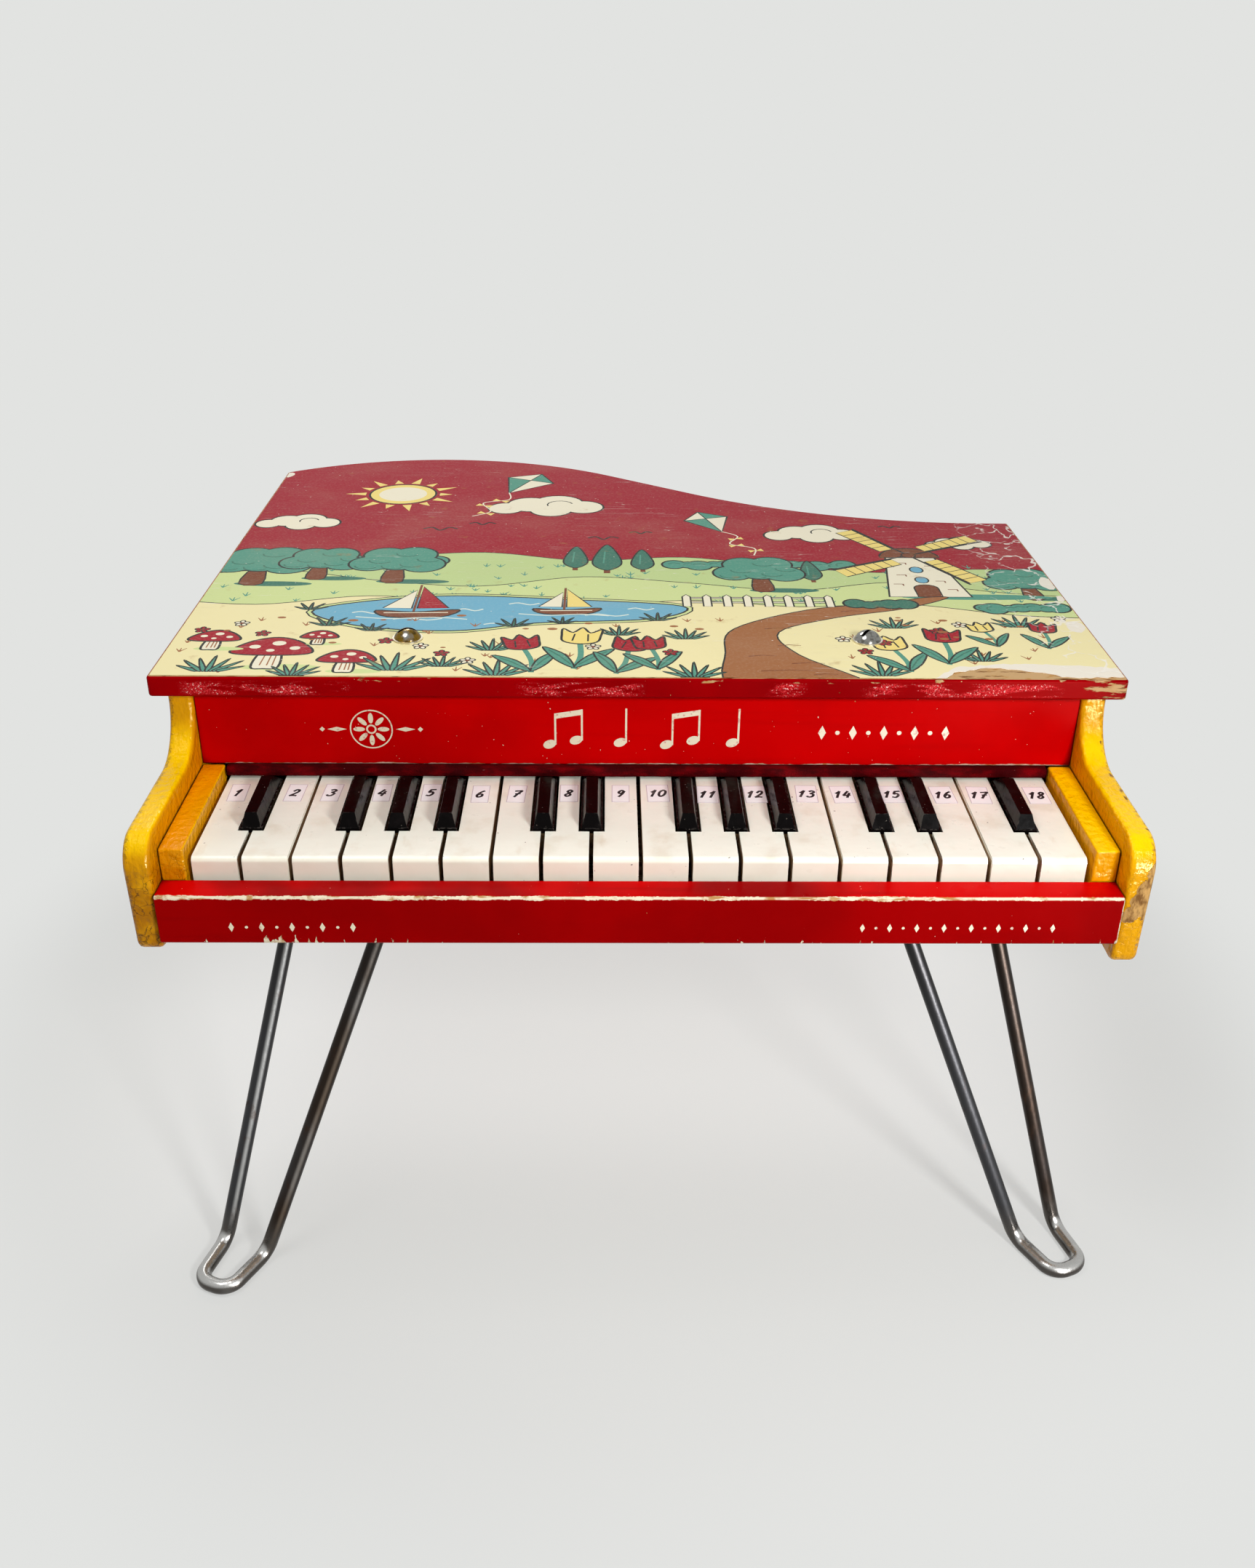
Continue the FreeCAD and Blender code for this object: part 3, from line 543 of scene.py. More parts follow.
# Flat drawing: shapes are outlines in millimetres, each with the name of its ink
INKS = {
    "sky": tone(156, 24, 42), "red": tone(162, 20, 38), "far_hill": tone(190, 208, 142),
    "hill": tone(206, 218, 150), "meadow": tone(238, 226, 172), "teal": tone(84, 148, 128),
    "pine": tone(62, 116, 98), "brown": tone(122, 68, 42), "earth": tone(158, 102, 62),
    "water": tone(112, 172, 196), "foam": tone(214, 226, 214), "yellow": tone(240, 216, 126),
    "cream": tone(238, 230, 204), "line": tone(40, 42, 40), "torn": tone(236, 228, 212),
    "sticker": tone(250, 247, 246), "border": tone(206, 192, 198), "pen": tone(10, 8, 12),
    "stencil": tone(238, 224, 194),
}
LINE_WIDTH = 1.15
STROKE_OVERLAP = 0.2
MERGE_GAP = 1e-4


def turned(points, degrees, x=0.0, y=0.0):
    """Points turned about the origin and then moved."""
    c = math.cos(math.radians(degrees))
    s = math.sin(math.radians(degrees))
    return [(x + a * c - b * s, y + a * s + b * c) for a, b in points]


def oval(x, y, wide, tall, start=0.0, sweep=1.0, count=24):
    """Points of an ellipse, or of the part of it from start over sweep, both in turns."""
    last = count if sweep < 1 else count - 1
    angles = [TURN * (start + sweep * i / count) for i in range(last + 1)]
    return [(x + wide * math.cos(a), y + tall * math.sin(a)) for a in angles]


def rectangle(wide, tall):
    """Corners that lie this far from the origin."""
    return [(-wide, -tall), (wide, -tall), (wide, tall), (-wide, tall)]


def smooth(corners, steps=6, closed=True):
    """A curve through the corners."""
    count = len(corners)
    points = []
    for i in range(count if closed else count - 1):
        near = [corners[k % count if closed else min(max(k, 0), count - 1)] for k in range(i - 1, i + 3)]
        for step in range(steps):
            t = step / steps
            weights = (-t + 2 * t * t - t ** 3, 2 - 5 * t * t + 3 * t ** 3,
                       t + 4 * t * t - 3 * t ** 3, -t * t + t ** 3)
            points.append(tuple(sum(w * p[axis] for w, p in zip(weights, near)) / 2 for axis in (0, 1)))
    return points if closed else points + [corners[-1]]


def curve(corners, steps=6):
    return smooth(corners, steps, closed=False)


def grown(points, by):
    """An outline moved outwards."""
    points = list(points)
    if sum(a[0] * b[1] - b[0] * a[1] for a, b in zip(points, points[1:] + points[:1])) <= 0:
        points.reverse()
    result = []
    for before, (x, y), after in zip(points[-1:] + points, points, points[1:] + points[:1]):
        dx = after[0] - before[0]
        dy = after[1] - before[1]
        length = math.hypot(dx, dy) or 1.0
        result.append((x + dy / length * by, y - dx / length * by))
    return result


def outlined(points, ink, line=LINE_WIDTH):
    return [(grown(points, line / 2), "line"), (grown(points, -line / 2), ink)]


def stroke(path, width, ink="line", taper=0.0):
    """A pen line as one quad for each run of the path, narrowing by taper towards its end."""
    shapes = []
    runs = len(path) - 1
    for i in range(runs):
        (x0, y0), (x1, y1) = path[i], path[i + 1]
        length = math.hypot(x1 - x0, y1 - y0) or 1.0
        nx = (y1 - y0) / length / 2
        ny = -(x1 - x0) / length / 2
        ox = (x1 - x0) / length * width * STROKE_OVERLAP
        oy = (y1 - y0) / length * width * STROKE_OVERLAP
        w0 = width * (1 - taper * i / runs)
        w1 = width * (1 - taper * (i + 1) / runs)
        quad = [(x0 - ox + nx * w0, y0 - oy + ny * w0), (x1 + ox + nx * w1, y1 + oy + ny * w1),
                (x1 + ox - nx * w1, y1 + oy - ny * w1), (x0 - ox - nx * w0, y0 - oy - ny * w0)]
        shapes.append((quad, ink))
    return shapes


class Motif(list):
    """A list of shapes, drawn about the origin at unit size and put where they belong."""

    def __init__(self, x, y, size, lean=0.0):
        super().__init__()
        self.put = lambda points: turned([(a * size, b * size) for a, b in points], lean, x, y)

    def fill(self, points, ink):
        self.append((self.put(points), ink))
        return self

    def outline(self, points, ink, line=LINE_WIDTH):
        self.extend(outlined(self.put(points), ink, line))
        return self

    def line(self, path, width, ink="line"):
        self.extend(stroke(self.put(path), width, ink))
        return self


def puffs(x, y, size, lumps, ink):
    """Round lumps drawn together inside one outline."""
    return [(oval(x + a * size, y + b * size, r * size + by, r * size + by), colour)
            for by, colour in ((LINE_WIDTH / 2, "line"), (-LINE_WIDTH / 2, ink)) for a, b, r in lumps]


def covered(outline, spots):
    """Numbers of the spots that an outline winds around."""
    low = np.min(outline, axis=0)
    high = np.max(outline, axis=0)
    near = np.nonzero(np.all((spots > low) & (spots < high), axis=1))[0]
    x, y = spots[near].T
    turns = np.zeros(len(near), int)
    for (x0, y0), (x1, y1) in zip(outline, outline[1:] + outline[:1]):
        side = (x1 - x0) * (y - y0) - (x - x0) * (y1 - y0)
        turns += (y0 <= y) & (y < y1) & (side > 0)
        turns -= (y1 <= y) & (y < y0) & (side < 0)
    return near[turns != 0]


def flat_piece(name, body, shapes, place, thickness, finish):
    """One thin sheet, outlined by its first shape. A spot takes the last ink on it; None cuts it away."""
    points = []
    edges = []
    for outline, _ink in shapes:
        ring = list(range(len(points), len(points) + len(outline)))
        edges.extend(zip(ring, ring[1:] + ring[:1]))
        points.extend(Vector(point) for point in outline)
    found = delaunay_2d_cdt(points, edges, [], 0, MERGE_GAP, True)
    spots, faces = found[0], found[2]
    middles = np.array([[sum(spots[i][axis] for i in face) / 3 for axis in (0, 1)] for face in faces])
    inks = [None] * len(faces)
    for outline, ink in shapes:
        for i in covered(list(outline), middles):
            inks[i] = ink
    inside = set(covered(list(shapes[0][0]), middles))
    kept = [(face, INKS[ink]) for i, (face, ink) in enumerate(zip(faces, inks)) if ink and i in inside]
    used = sorted({i for face, _colour in kept for i in face})
    order = {old: new for new, old in enumerate(used)}
    mesh = bpy.data.meshes.new(name)
    mesh.from_pydata([place(*spots[i]) for i in used], [],
                     [[order[i] for i in face] for face, _colour in kept])
    layer = mesh.color_attributes.new("ink", "FLOAT_COLOR", "CORNER")
    for polygon, (_face, colour) in zip(mesh.polygons, kept):
        for corner in polygon.loop_indices:
            layer.data[corner].color = colour
    mesh.materials.append(finish)
    piece = new_piece(name, mesh)
    add_modifier(piece, "thickness", "SOLIDIFY", thickness=thickness, offset=-1.0)
    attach(piece, body)
    return piece


# The lid's print: a generic summer landscape. X from the middle, Y from the front edge
HILLS_HALF_WIDTH = 230
HILLS_BOTTOM = -9


def hill(heights, ink):
    """A ridge through heights spread evenly over the sheet's width, filled to the bottom."""
    wide, bottom = HILLS_HALF_WIDTH, HILLS_BOTTOM
    step = 2 * wide / (len(heights) - 1)
    ridge = curve([(-wide + i * step, y) for i, y in enumerate(heights)])
    return [(ridge + [(wide, bottom), (-wide, bottom)], ink)] + stroke(ridge, 0.8)


def cloud(x, y, size):
    lumps = ((-0.95, 0.0, 0.42), (-0.4, 0.3, 0.55), (0.25, 0.42, 0.6), (0.85, 0.12, 0.48), (0.1, -0.1, 0.5))
    curl = oval(0.3, 0.3, 0.3, 0.3, 0.05, 0.5, 8)
    return puffs(x, y, size, lumps, "cream") + Motif(x, y, size).line(curl, 0.8)


def hedge(x0, x1, y, size, ink, chance):
    """A run of leafy lumps with leaf marks."""
    lumps = []
    while x0 < x1:
        radius = size * chance.uniform(0.7, 1.25)
        lumps.append((x0, y + chance.uniform(-0.3, 0.3) * size, radius))
        x0 += 1.15 * radius
    shapes = puffs(0, 0, 1, lumps, ink)
    for x, y, radius in lumps:
        mark = oval(x, y, 0.5 * radius, 0.4 * radius, chance.uniform(0, 0.3), 0.36, 5)
        shapes += stroke(mark, 0.8, "pine")
    return shapes


def sun(x, y, size):
    shapes = []
    rays = 14
    for i in range(rays):
        ray = [(1.12, -0.14), (1.75 if i % 2 else 1.5, 0.0), (1.12, 0.14)]
        shapes += Motif(x, y, size, 360 * i / rays).fill(ray, "yellow")
    shapes += outlined(oval(x, y, size, size, count=36), "yellow", 1.2)
    return shapes + [(oval(x, y, 0.72 * size, 0.72 * size, count=32), "cream")]


def bird(x, y, size):
    return Motif(x, y, size).line(curve([(-1, 0.3), (-0.5, 0.55), (0, 0), (0.5, 0.55), (1, 0.3)], 4), 1.3)


def kite(x, y, size, lean):
    shapes = Motif(x, y, size, lean)
    top, left, right, foot, middle = (0, 1.0), (-0.72, 0.3), (0.72, 0.3), (0, -1.1), (0, 0.3)
    shapes.append((grown(shapes.put((top, left, foot, right)), LINE_WIDTH), "line"))
    shapes.fill((top, left, middle), "cream").fill((top, middle, right), "teal")
    shapes.fill((left, foot, middle), "teal").fill((middle, foot, right), "cream")
    shapes.line((top, foot), 0.7).line((left, middle, right), 0.7)
    tail = curve([(0, -1.1), (0.3, -1.7), (-0.2, -2.3), (0.35, -2.9), (0.1, -3.5)])
    shapes.line(tail, 0.8, "cream")
    for a, b in tail[8:21:6]:
        for side in (-0.22, 0.22):
            shapes.fill([(a + side, b - 0.12), (a, b), (a + side, b + 0.12)], "yellow")
    return shapes


def round_tree(x, y, size):
    lumps = ((-0.38, 0.72, 0.3), (0.36, 0.7, 0.32), (-0.2, 1.08, 0.32), (0.2, 1.1, 0.33), (0.0, 0.82, 0.36))
    trunk = smooth([(-0.14, 0), (-0.08, 0.6), (0.08, 0.6), (0.16, 0)], 3)
    shapes = Motif(x, y, size).fill(oval(0.3, 0.0, 0.5, 0.09), "pine").outline(trunk, "brown", 0.8)
    shapes += puffs(x, y, size, lumps, "teal")
    for a, b in ((-0.25, 0.85), (0.2, 0.7), (0.1, 1.15), (-0.05, 0.62), (0.42, 0.92), (-0.42, 0.62)):
        shapes.line(oval(a, b, 0.16, 0.12, 0.5, 0.42, 6), 0.9, "pine")
    return shapes


def poplar(x, y, size):
    leaf = smooth([(0, 0.1), (0.2, 0.35), (0.15, 0.8), (0, 1.2), (-0.15, 0.8), (-0.2, 0.35)])
    shapes = Motif(x, y, size).line([(0, 0), (0, 0.3)], 0.09 * size, "brown")
    return shapes.outline(leaf, "pine", 0.9).line([(-0.05, 0.4), (-0.03, 0.9)], 0.8, "teal")


def windmill(x, y, size):
    door = [(-0.08, 0), (0.08, 0), (0.08, 0.16)] + oval(0, 0.16, 0.08, 0.07, 0.0, 0.5, 8)[1:]
    shapes = Motif(x, y, size).fill(oval(0.3, 0.0, 0.5, 0.05), "teal")
    shapes.outline([(-0.27, 0), (0.27, 0), (0.17, 0.78), (-0.17, 0.78)], "cream")
    for a, b in ((-0.17, 0.24), (0.12, 0.3), (-0.12, 0.42), (0.1, 0.6), (0.17, 0.14), (-0.08, 0.66)):
        shapes.line([(a - 0.03, b), (a + 0.03, b), (a + 0.03, b - 0.03)], 0.7, "brown")
    shapes.outline(oval(0, 0.77, 0.21, 0.2, 0.0, 0.5, 12), "brown").outline(door, "brown", 0.8)
    for level in (0.32, 0.52):
        shapes.outline(oval(0, level, 0.045, 0.06, count=12), "water", 0.8)
    hub = (x, y + 0.82 * size)
    for quarter in range(4):
        sail = Motif(*hub, size, 28 + 90 * quarter)
        sail.outline([(0.16, 0.015), (0.64, 0.015), (0.64, 0.16), (0.16, 0.13)], "yellow", 0.9)
        sail.line([(0.06, 0), (0.66, 0)], 1.4)
        for share in (0.24, 0.32, 0.4, 0.48, 0.56):
            sail.line([(share, 0.015), (share, 0.145)], 0.6)
        shapes += sail
    return shapes + outlined(oval(*hub, 0.05 * size, 0.05 * size, count=12), "brown", 0.8)


def sailboat(x, y, size, ink):
    hull = smooth([(-0.55, 0.16), (-0.35, -0.1), (0.4, -0.1), (0.66, 0.2), (0, 0.1)], 4)
    ripple = curve([(-0.8, -0.1), (-0.3, -0.17), (0.3, -0.11), (0.8, -0.18)], 3)
    shapes = Motif(x, y, size).line([(0, 0.1), (0, 1.22)], 1.2, "brown")
    shapes.outline([(0.04, 0.24), (0.5, 0.26), (0.04, 1.15)], ink, 0.9)
    shapes.outline([(-0.04, 0.24), (-0.04, 1.0), (-0.46, 0.26)], "cream", 0.9)
    shapes.outline(hull, "brown").line([(-0.42, 0.06), (0.5, 0.08)], 0.9, "cream")
    return shapes.line(ripple, 1.0, "foam")


def tulip(x, y, size, ink, lean):
    shapes = Motif(x, y, size, lean)
    shapes.line(curve([(0, 0), (0.04, 0.3), (0.0, 0.68)], 4), 0.06 * size, "teal")
    for side in (-1, 1):
        leaf = smooth([(0, 0.02), (side * 0.2, 0.2), (side * 0.36, 0.52), (side * 0.12, 0.34)], 5)
        vein = [(side * 0.04, 0.1), (side * 0.17, 0.3), (side * 0.29, 0.44)]
        shapes.outline(leaf, "teal", 0.9).line(vein, 0.8, "pine")
    cup = smooth([(0, 0.62), (0.17, 0.68), (0.2, 0.85), (0.2, 1.02), (0.09, 0.92), (0, 1.06),
                  (-0.09, 0.92), (-0.2, 1.02), (-0.2, 0.85), (-0.17, 0.68)], 4)
    shapes.outline(cup, ink)
    for side in (-0.08, 0.08):
        shapes.line([(side, 0.7), (0.85 * side, 0.88)], 0.8)
    return shapes


def mushroom(x, y, size):
    stem = smooth([(-0.16, 0), (-0.12, 0.5), (0.12, 0.5), (0.18, 0), (0, -0.05)], 4)
    cap = smooth([(-0.52, 0.46), (-0.34, 0.82), (0, 0.98), (0.34, 0.82), (0.52, 0.46), (0, 0.38)])
    shapes = Motif(x, y, size).fill(oval(0.2, 0.0, 0.5, 0.1), "hill")
    shapes.outline(stem, "cream").outline(cap, "red")
    for a, b, r in ((-0.24, 0.66, 0.075), (0.05, 0.78, 0.09), (0.28, 0.62, 0.07), (-0.02, 0.54, 0.055)):
        shapes.fill(oval(a, b, r, 0.85 * r, count=14), "cream")
    for a in (-0.06, 0.03, 0.1):
        shapes.line([(a, 0.06), (0.9 * a, 0.36)], 0.6, "earth")
    return shapes


def tuft(x, y, size, ink="teal", blades=7):
    shapes = []
    for i in range(blades):
        lean = -62 + 124 * i / (blades - 1)
        tall = 0.75 + 0.25 * math.cos(math.radians(1.4 * lean)) + 0.12 * (i % 2)
        blade = smooth([(-0.07, 0), (-0.05, 0.55 * tall), (0.02, tall), (0.07, 0.5 * tall), (0.07, 0)], 3)
        shapes += Motif(x + 0.1 * size * (i - blades / 2), y, size, -lean).outline(blade, ink, 0.8)
    return shapes


def blossom(x, y, ink, size=3.4):
    shapes = []
    for i in range(5):
        petal = oval(0.6, 0, 0.45, 0.34, count=10)
        shapes += Motif(x, y, size, 72 * i + 18).outline(petal, ink, 0.7)
    return shapes + [(oval(x, y, 0.3 * size, 0.3 * size, count=8), "brown")]


def fence(x0, x1, y, tall):
    posts = int((x1 - x0) / (0.62 * tall))
    shapes = []
    for level in (0.3, 0.68):
        bar = [(x0, y + level * tall), (x1, y + (level + 0.04) * tall), (x1, y + (level + 0.16) * tall),
               (x0, y + (level + 0.12) * tall)]
        shapes += outlined(bar, "cream", 0.8)
    post = [(-0.13, 0), (0.13, 0), (0.13, 0.85), (0, 1.05), (-0.13, 0.85)]
    for i in range(posts + 1):
        shapes += Motif(x0 + (x1 - x0) * i / posts, y, tall).outline(post, "cream", 0.8)
    return shapes


def grass(count, low, high, ink, chance):
    """Little sprays of pen strokes scattered between two heights."""
    shapes = []
    for _ in range(count):
        x, y = chance.uniform(-200, 200), chance.uniform(low, high)
        for lean in (-32, 0, 32):
            shapes += stroke(turned([(0, 0), (0, chance.uniform(2.5, 5))], lean, x, y), 0.9, ink, 0.6)
    return shapes


def rut(x, y, wide):
    return stroke([(x, y), (x + 0.5 * wide, y + 1.2), (x + wide, y + 0.4)], 0.9, "brown", 0.6)


def wavelet(x, y, wide):
    wave = [(x, y), (x + 0.3 * wide, y + 1.5), (x + 0.7 * wide, y - 1), (x + wide, y + 1)]
    return stroke(curve(wave, 3), 1.1, "foam")


def each(draw, *rows):
    """One motif drawn once for each row of its values."""
    return [shape for row in rows for shape in draw(*row)]


def landscape():
    chance = random.Random(4)
    shapes = hill((150, 142, 152, 160, 148, 154, 140, 132, 138, 128), "far_hill")
    shapes += hedge(-205, -96, 146, 7, "teal", chance) + hedge(20, 110, 143, 6, "teal", chance)
    shapes += grass(40, 120, 140, "teal", chance)
    shapes += hill((120, 132, 118, 110, 124, 116, 106, 118, 104, 96), "hill")
    shapes += grass(60, 88, 110, "teal", chance)
    shapes += hill((92, 84, 96, 88, 82, 92, 84, 88, 74, 70), "meadow")
    shapes += sun(-132, 262, 19)
    shapes += each(cloud, (-48, 236, 24), (96, 190, 19), (-182, 206, 17), (172, 176, 13))
    shapes += each(bird, (-104, 196, 9), (-82, 206, 7), (-16, 182, 8), (4, 192, 6), (140, 204, 6))
    shapes += each(kite, (-62, 286, 20, -24), (42, 214, 17, 18))
    shapes += each(poplar, (-30, 134, 30), (-14, 130, 36), (4, 132, 28), (88, 118, 26))
    shapes += each(round_tree, (-188, 112, 38), (-158, 120, 32), (-120, 116, 36), (62, 106, 34),
                   (192, 96, 30))
    shapes += windmill(142, 98, 74)
    track = smooth([(138, 97), (150, 97), (126, 82), (92, 70), (64, 52), (70, 26), (96, -8), (40, -8),
                    (38, 28), (44, 56), (80, 80), (120, 90)])
    shapes += outlined(track, "earth", 0.8)
    shapes += each(rut, (52, 8, 24), (48, 24, 12), (62, 36, 10), (66, 16, 14), (58, 56, 12), (96, 78, 10),
                   (74, 4, 10))
    shapes += hedge(104, 132, 88, 5, "pine", chance) + hedge(164, 206, 84, 6, "teal", chance)
    lake = smooth([(-150, 78), (-96, 96), (-30, 92), (22, 84), (8, 68), (-46, 62), (-84, 52), (-128, 58)])
    shapes += outlined(grown(lake, 2.5), "hill", 0.8) + outlined(lake, "water")
    shapes += each(wavelet, (-112, 66, 22), (-70, 60, 16), (-24, 72, 20), (-60, 86, 14), (-4, 80, 12),
                   (-132, 74, 14), (-84, 78, 12))
    shapes += each(sailboat, (-104, 72, 32, "red"), (-34, 76, 26, "yellow"))
    shapes += fence(24, 92, 84, 15)
    for x, y, size in ((-140, 58, 11), (-120, 52, 9), (-56, 58, 10), (-34, 62, 8), (10, 66, 10),
                       (-152, 78, 9)):
        shapes += tuft(x, y, size, "pine", 5)
    shapes += grass(46, 4, 66, "earth", chance)
    shapes += each(mushroom, (-160, 10, 34), (-126, 6, 24), (-188, 30, 22), (-142, 36, 16))
    shapes += each(tuft, (-104, 8, 17), (-182, 6, 15), (-64, 30, 12), (22, 44, 11), (118, 58, 12),
                   (176, 60, 13), (-8, 48, 10), (-146, 2, 12), (-60, 3, 15), (24, 2, 14), (104, 4, 14),
                   (150, 20, 12), (-84, 12, 11))
    shapes += each(tulip, (-46, 6, 40, "red", 10), (-28, 10, 44, "yellow", -4), (-10, 5, 40, "red", -12),
                   (8, 9, 36, "red", 6), (116, 8, 38, "yellow", 8), (134, 16, 40, "red", -6),
                   (182, 34, 30, "red", -8), (160, 36, 28, "yellow", 8))
    shapes += each(blossom, (-86, 26, "red"), (-74, 18, "cream"), (-96, 34, "cream"), (-112, 40, "red"),
                   (-196, 52, "red"), (-180, 60, "cream"), (-168, 48, "red"), (-20, 34, "cream"),
                   (14, 28, "red"), (100, 30, "red"), (92, 44, "cream"), (110, 40, "red"),
                   (148, 62, "cream"), (136, 54, "red"), (196, 70, "cream"))
    for _ in range(26):
        x = chance.uniform(-190, 190)
        y = chance.uniform(30, 74)
        wide = chance.uniform(1.2, 2.6)
        shapes.append((oval(x, y, wide, 0.6 * wide, count=9), "earth"))
    return shapes


TEAR_STEP = 2.2
LEVEL_GAP = 1e-5


def ragged(points, seed, jump):
    """An outline with a torn edge."""
    chance = random.Random(seed)
    result = []
    for (x0, y0), (x1, y1) in zip(points, points[1:] + points[:1]):
        count = max(1, int(math.hypot(x1 - x0, y1 - y0) / TEAR_STEP))
        for i in range(count):
            t = i / count
            x = x0 + (x1 - x0) * t + chance.uniform(-jump, jump)
            result.append((x, y0 + (y1 - y0) * t + chance.uniform(-jump, jump)))
    return result


def boundary_loops(node, height):
    """Loops of (x, y) around the flat face of a CAD node at the given height, the longest first."""
    mesh = nodes[node].data
    spot = lambda i: (round(mesh.vertices[i].co.x, 6), round(mesh.vertices[i].co.y, 6))
    sides = {}
    for polygon in mesh.polygons:
        corners = list(polygon.vertices)
        if all(abs(mesh.vertices[i].co.z - height) < LEVEL_GAP for i in corners):
            for a, b in zip(corners, corners[1:] + corners[:1]):
                sides[spot(a), spot(b)] = True
    after = {a: b for a, b in sides if (b, a) not in sides}
    loops = []
    while after:
        start, current = after.popitem()
        loop = [start]
        while current != start:
            loop.append(current)
            current = after.pop(current)
        loops.append(loop)
    return sorted(loops, key=len, reverse=True)


def lid_print(finish):
    edge = lid_low.y
    sheet, *holes = [[(x / MM, (y - edge) / MM) for x, y in loop]
                     for loop in boundary_loops("lid_paper", paper_high.z)]
    shapes = [(sheet, "sky")] + landscape()
    white = [(118, -6), (136, 13), (160, 16.5), (187, 15.5), (204, 12.5), (212, 12), (212, -6)]
    shapes.append((ragged(white, 2, 0.8), "torn"))
    gone = [(122, -6), (134, 7), (146, 12), (160, 11.5), (172, 7), (181, 2.5), (196, 2.5), (206, 4),
            (212, 4), (212, -6)]
    shapes.append((ragged(gone, 3, 0.8), None))
    for nibble in ((201, 60, 4.5, 7), (203, 118, 3.5, 9), (204, 96, 2.2, 4), (-205, 300, 3, 5)):
        shapes.append((ragged(oval(*nibble, count=10), 5, 0.6), "torn"))
    shapes += [(hole, None) for hole in holes]
    place = lambda x, y: Vector((x * MM, edge + y * MM, paper_high.z))
    piece = flat_piece("lid_print", "case", shapes, place, PAPER_THICKNESS, finish)
    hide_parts("lid_paper")


# Number stickers on the white keys: pen strokes in percent of a digit's width and height
DIGITS = {
    "0": [[(50, 100), (15, 75), (12, 28), (42, 0), (80, 25), (84, 75), (50, 100)]],
    "1": [[(20, 68), (45, 84), (62, 100)], [(62, 100), (52, 50), (44, 0)]],
    "2": [[(15, 74), (36, 98), (70, 94), (74, 64), (42, 30), (10, 3)], [(10, 3), (50, 7), (90, 4)]],
    "3": [[(16, 90), (50, 100), (80, 80), (42, 55)], [(42, 55), (84, 40), (72, 6), (32, 0), (10, 14)]],
    "4": [[(52, 100), (30, 66), (10, 36), (50, 36), (92, 38)], [(78, 72), (68, 36), (60, 0)]],
    "5": [[(86, 100), (30, 97)], [(30, 97), (22, 58), (60, 62), (80, 34), (54, 3), (10, 8)]],
    "6": [[(76, 100), (40, 76), (15, 34), (36, 2), (76, 12), (76, 42), (46, 50), (20, 34)]],
    "7": [[(10, 94), (50, 97), (90, 98), (62, 50), (42, 0)], [(34, 50), (86, 55)]],
    "8": [[(52, 54), (22, 76), (46, 100), (76, 80), (50, 52), (14, 24), (40, 0), (76, 20), (52, 54)]],
    "9": [[(80, 80), (50, 100), (20, 80), (30, 55), (64, 58), (82, 86), (70, 40), (46, 0)]],
}
WHITE_KEYS = 18
STICKER_WIDE, STICKER_LONG, STICKER_BORDER = 7.8, 15.4, 0.3
STICKER_EXTRA = 1.7
STICKER_SETBACK = 54.5
STICKER_SHIFT = 2.2
DIGIT_TALL, DIGIT_WIDE, DIGIT_STEP, DIGIT_SLANT, PEN_WIDTH = 5.6, 3.4, 3.9, 0.24, 1.15


def digit_shapes(number):
    text = str(number)
    shapes = []
    for i, digit in enumerate(text):
        x = (i - (len(text) - 1) / 2) * DIGIT_STEP - DIGIT_WIDE / 2
        for path in DIGITS[digit]:
            drawn = curve([(a / 100, b / 100) for a, b in path], 5)
            drawn = [(x + a * DIGIT_WIDE + (b - 0.5) * DIGIT_SLANT * DIGIT_TALL, (b - 0.5) * DIGIT_TALL)
                     for a, b in drawn]
            shapes += stroke(drawn, PEN_WIDTH, "pen")
    return shapes


def stickers(finish):
    """One for each white key, out of the way of the black keys beside it and a little askew."""
    chance = random.Random(11)
    blacks = [sum(corner.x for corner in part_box(name)) / 2 for name in nodes if name.startswith("black_key")]
    for number in range(1, WHITE_KEYS + 1):
        low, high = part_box(f"white_key_{number:02d}")
        middle = (low.x + high.x) / 2
        half = (high.x - low.x) / 2 + 2 * MM
        crowded_left = any(abs(x - middle + half) < 3 * MM for x in blacks)
        crowded_right = any(abs(x - middle - half) < 3 * MM for x in blacks)
        middle += (crowded_left - crowded_right) * STICKER_SHIFT * MM + chance.uniform(-0.5, 0.5) * MM
        back = key_front + (STICKER_SETBACK + chance.uniform(-0.6, 0.6)) * MM
        lean = chance.uniform(-2.5, 2.5)
        wide = STICKER_WIDE + STICKER_EXTRA * (number > 9) + chance.uniform(-0.3, 0.3)
        shapes = []
        for border, ink in ((0.0, "border"), (STICKER_BORDER, "sticker")):
            shapes.append((rectangle(wide / 2 - border, STICKER_LONG / 2 - border), ink))
        shapes += digit_shapes(number)

        def place(x, y):
            a, b = turned([(x, y)], lean)[0]
            return Vector((middle + a * MM, back + b * MM, KEY_TOP + STICKER_THICKNESS + SEAT))

        flat_piece(f"sticker_{number:02d}", f"white_{number:02d}", shapes, place, STICKER_THICKNESS, finish)


# Painted ornaments on the nameboard and the rail
SHEET_REACH = 220


def note(x, y, size, tall=0.95):
    head = turned(oval(0, 0, 0.17 * size, 0.12 * size, count=18), 22, x, y)
    stem = [(x + 0.15 * size, y), (x + 0.15 * size, y + tall * size)]
    return [(head, "stencil")] + stroke(stem, 0.05 * size, "stencil")


def eighth_pair(x, y, size):
    beam = [(-0.215, 0.72), (0.515, 0.84), (0.515, 0.99), (-0.215, 0.87)]
    notes = note(x - 0.34 * size, y, size, 0.86) + note(x + 0.34 * size, y + 0.12 * size, size, 0.86)
    return notes + Motif(x, y, size).fill(beam, "stencil")


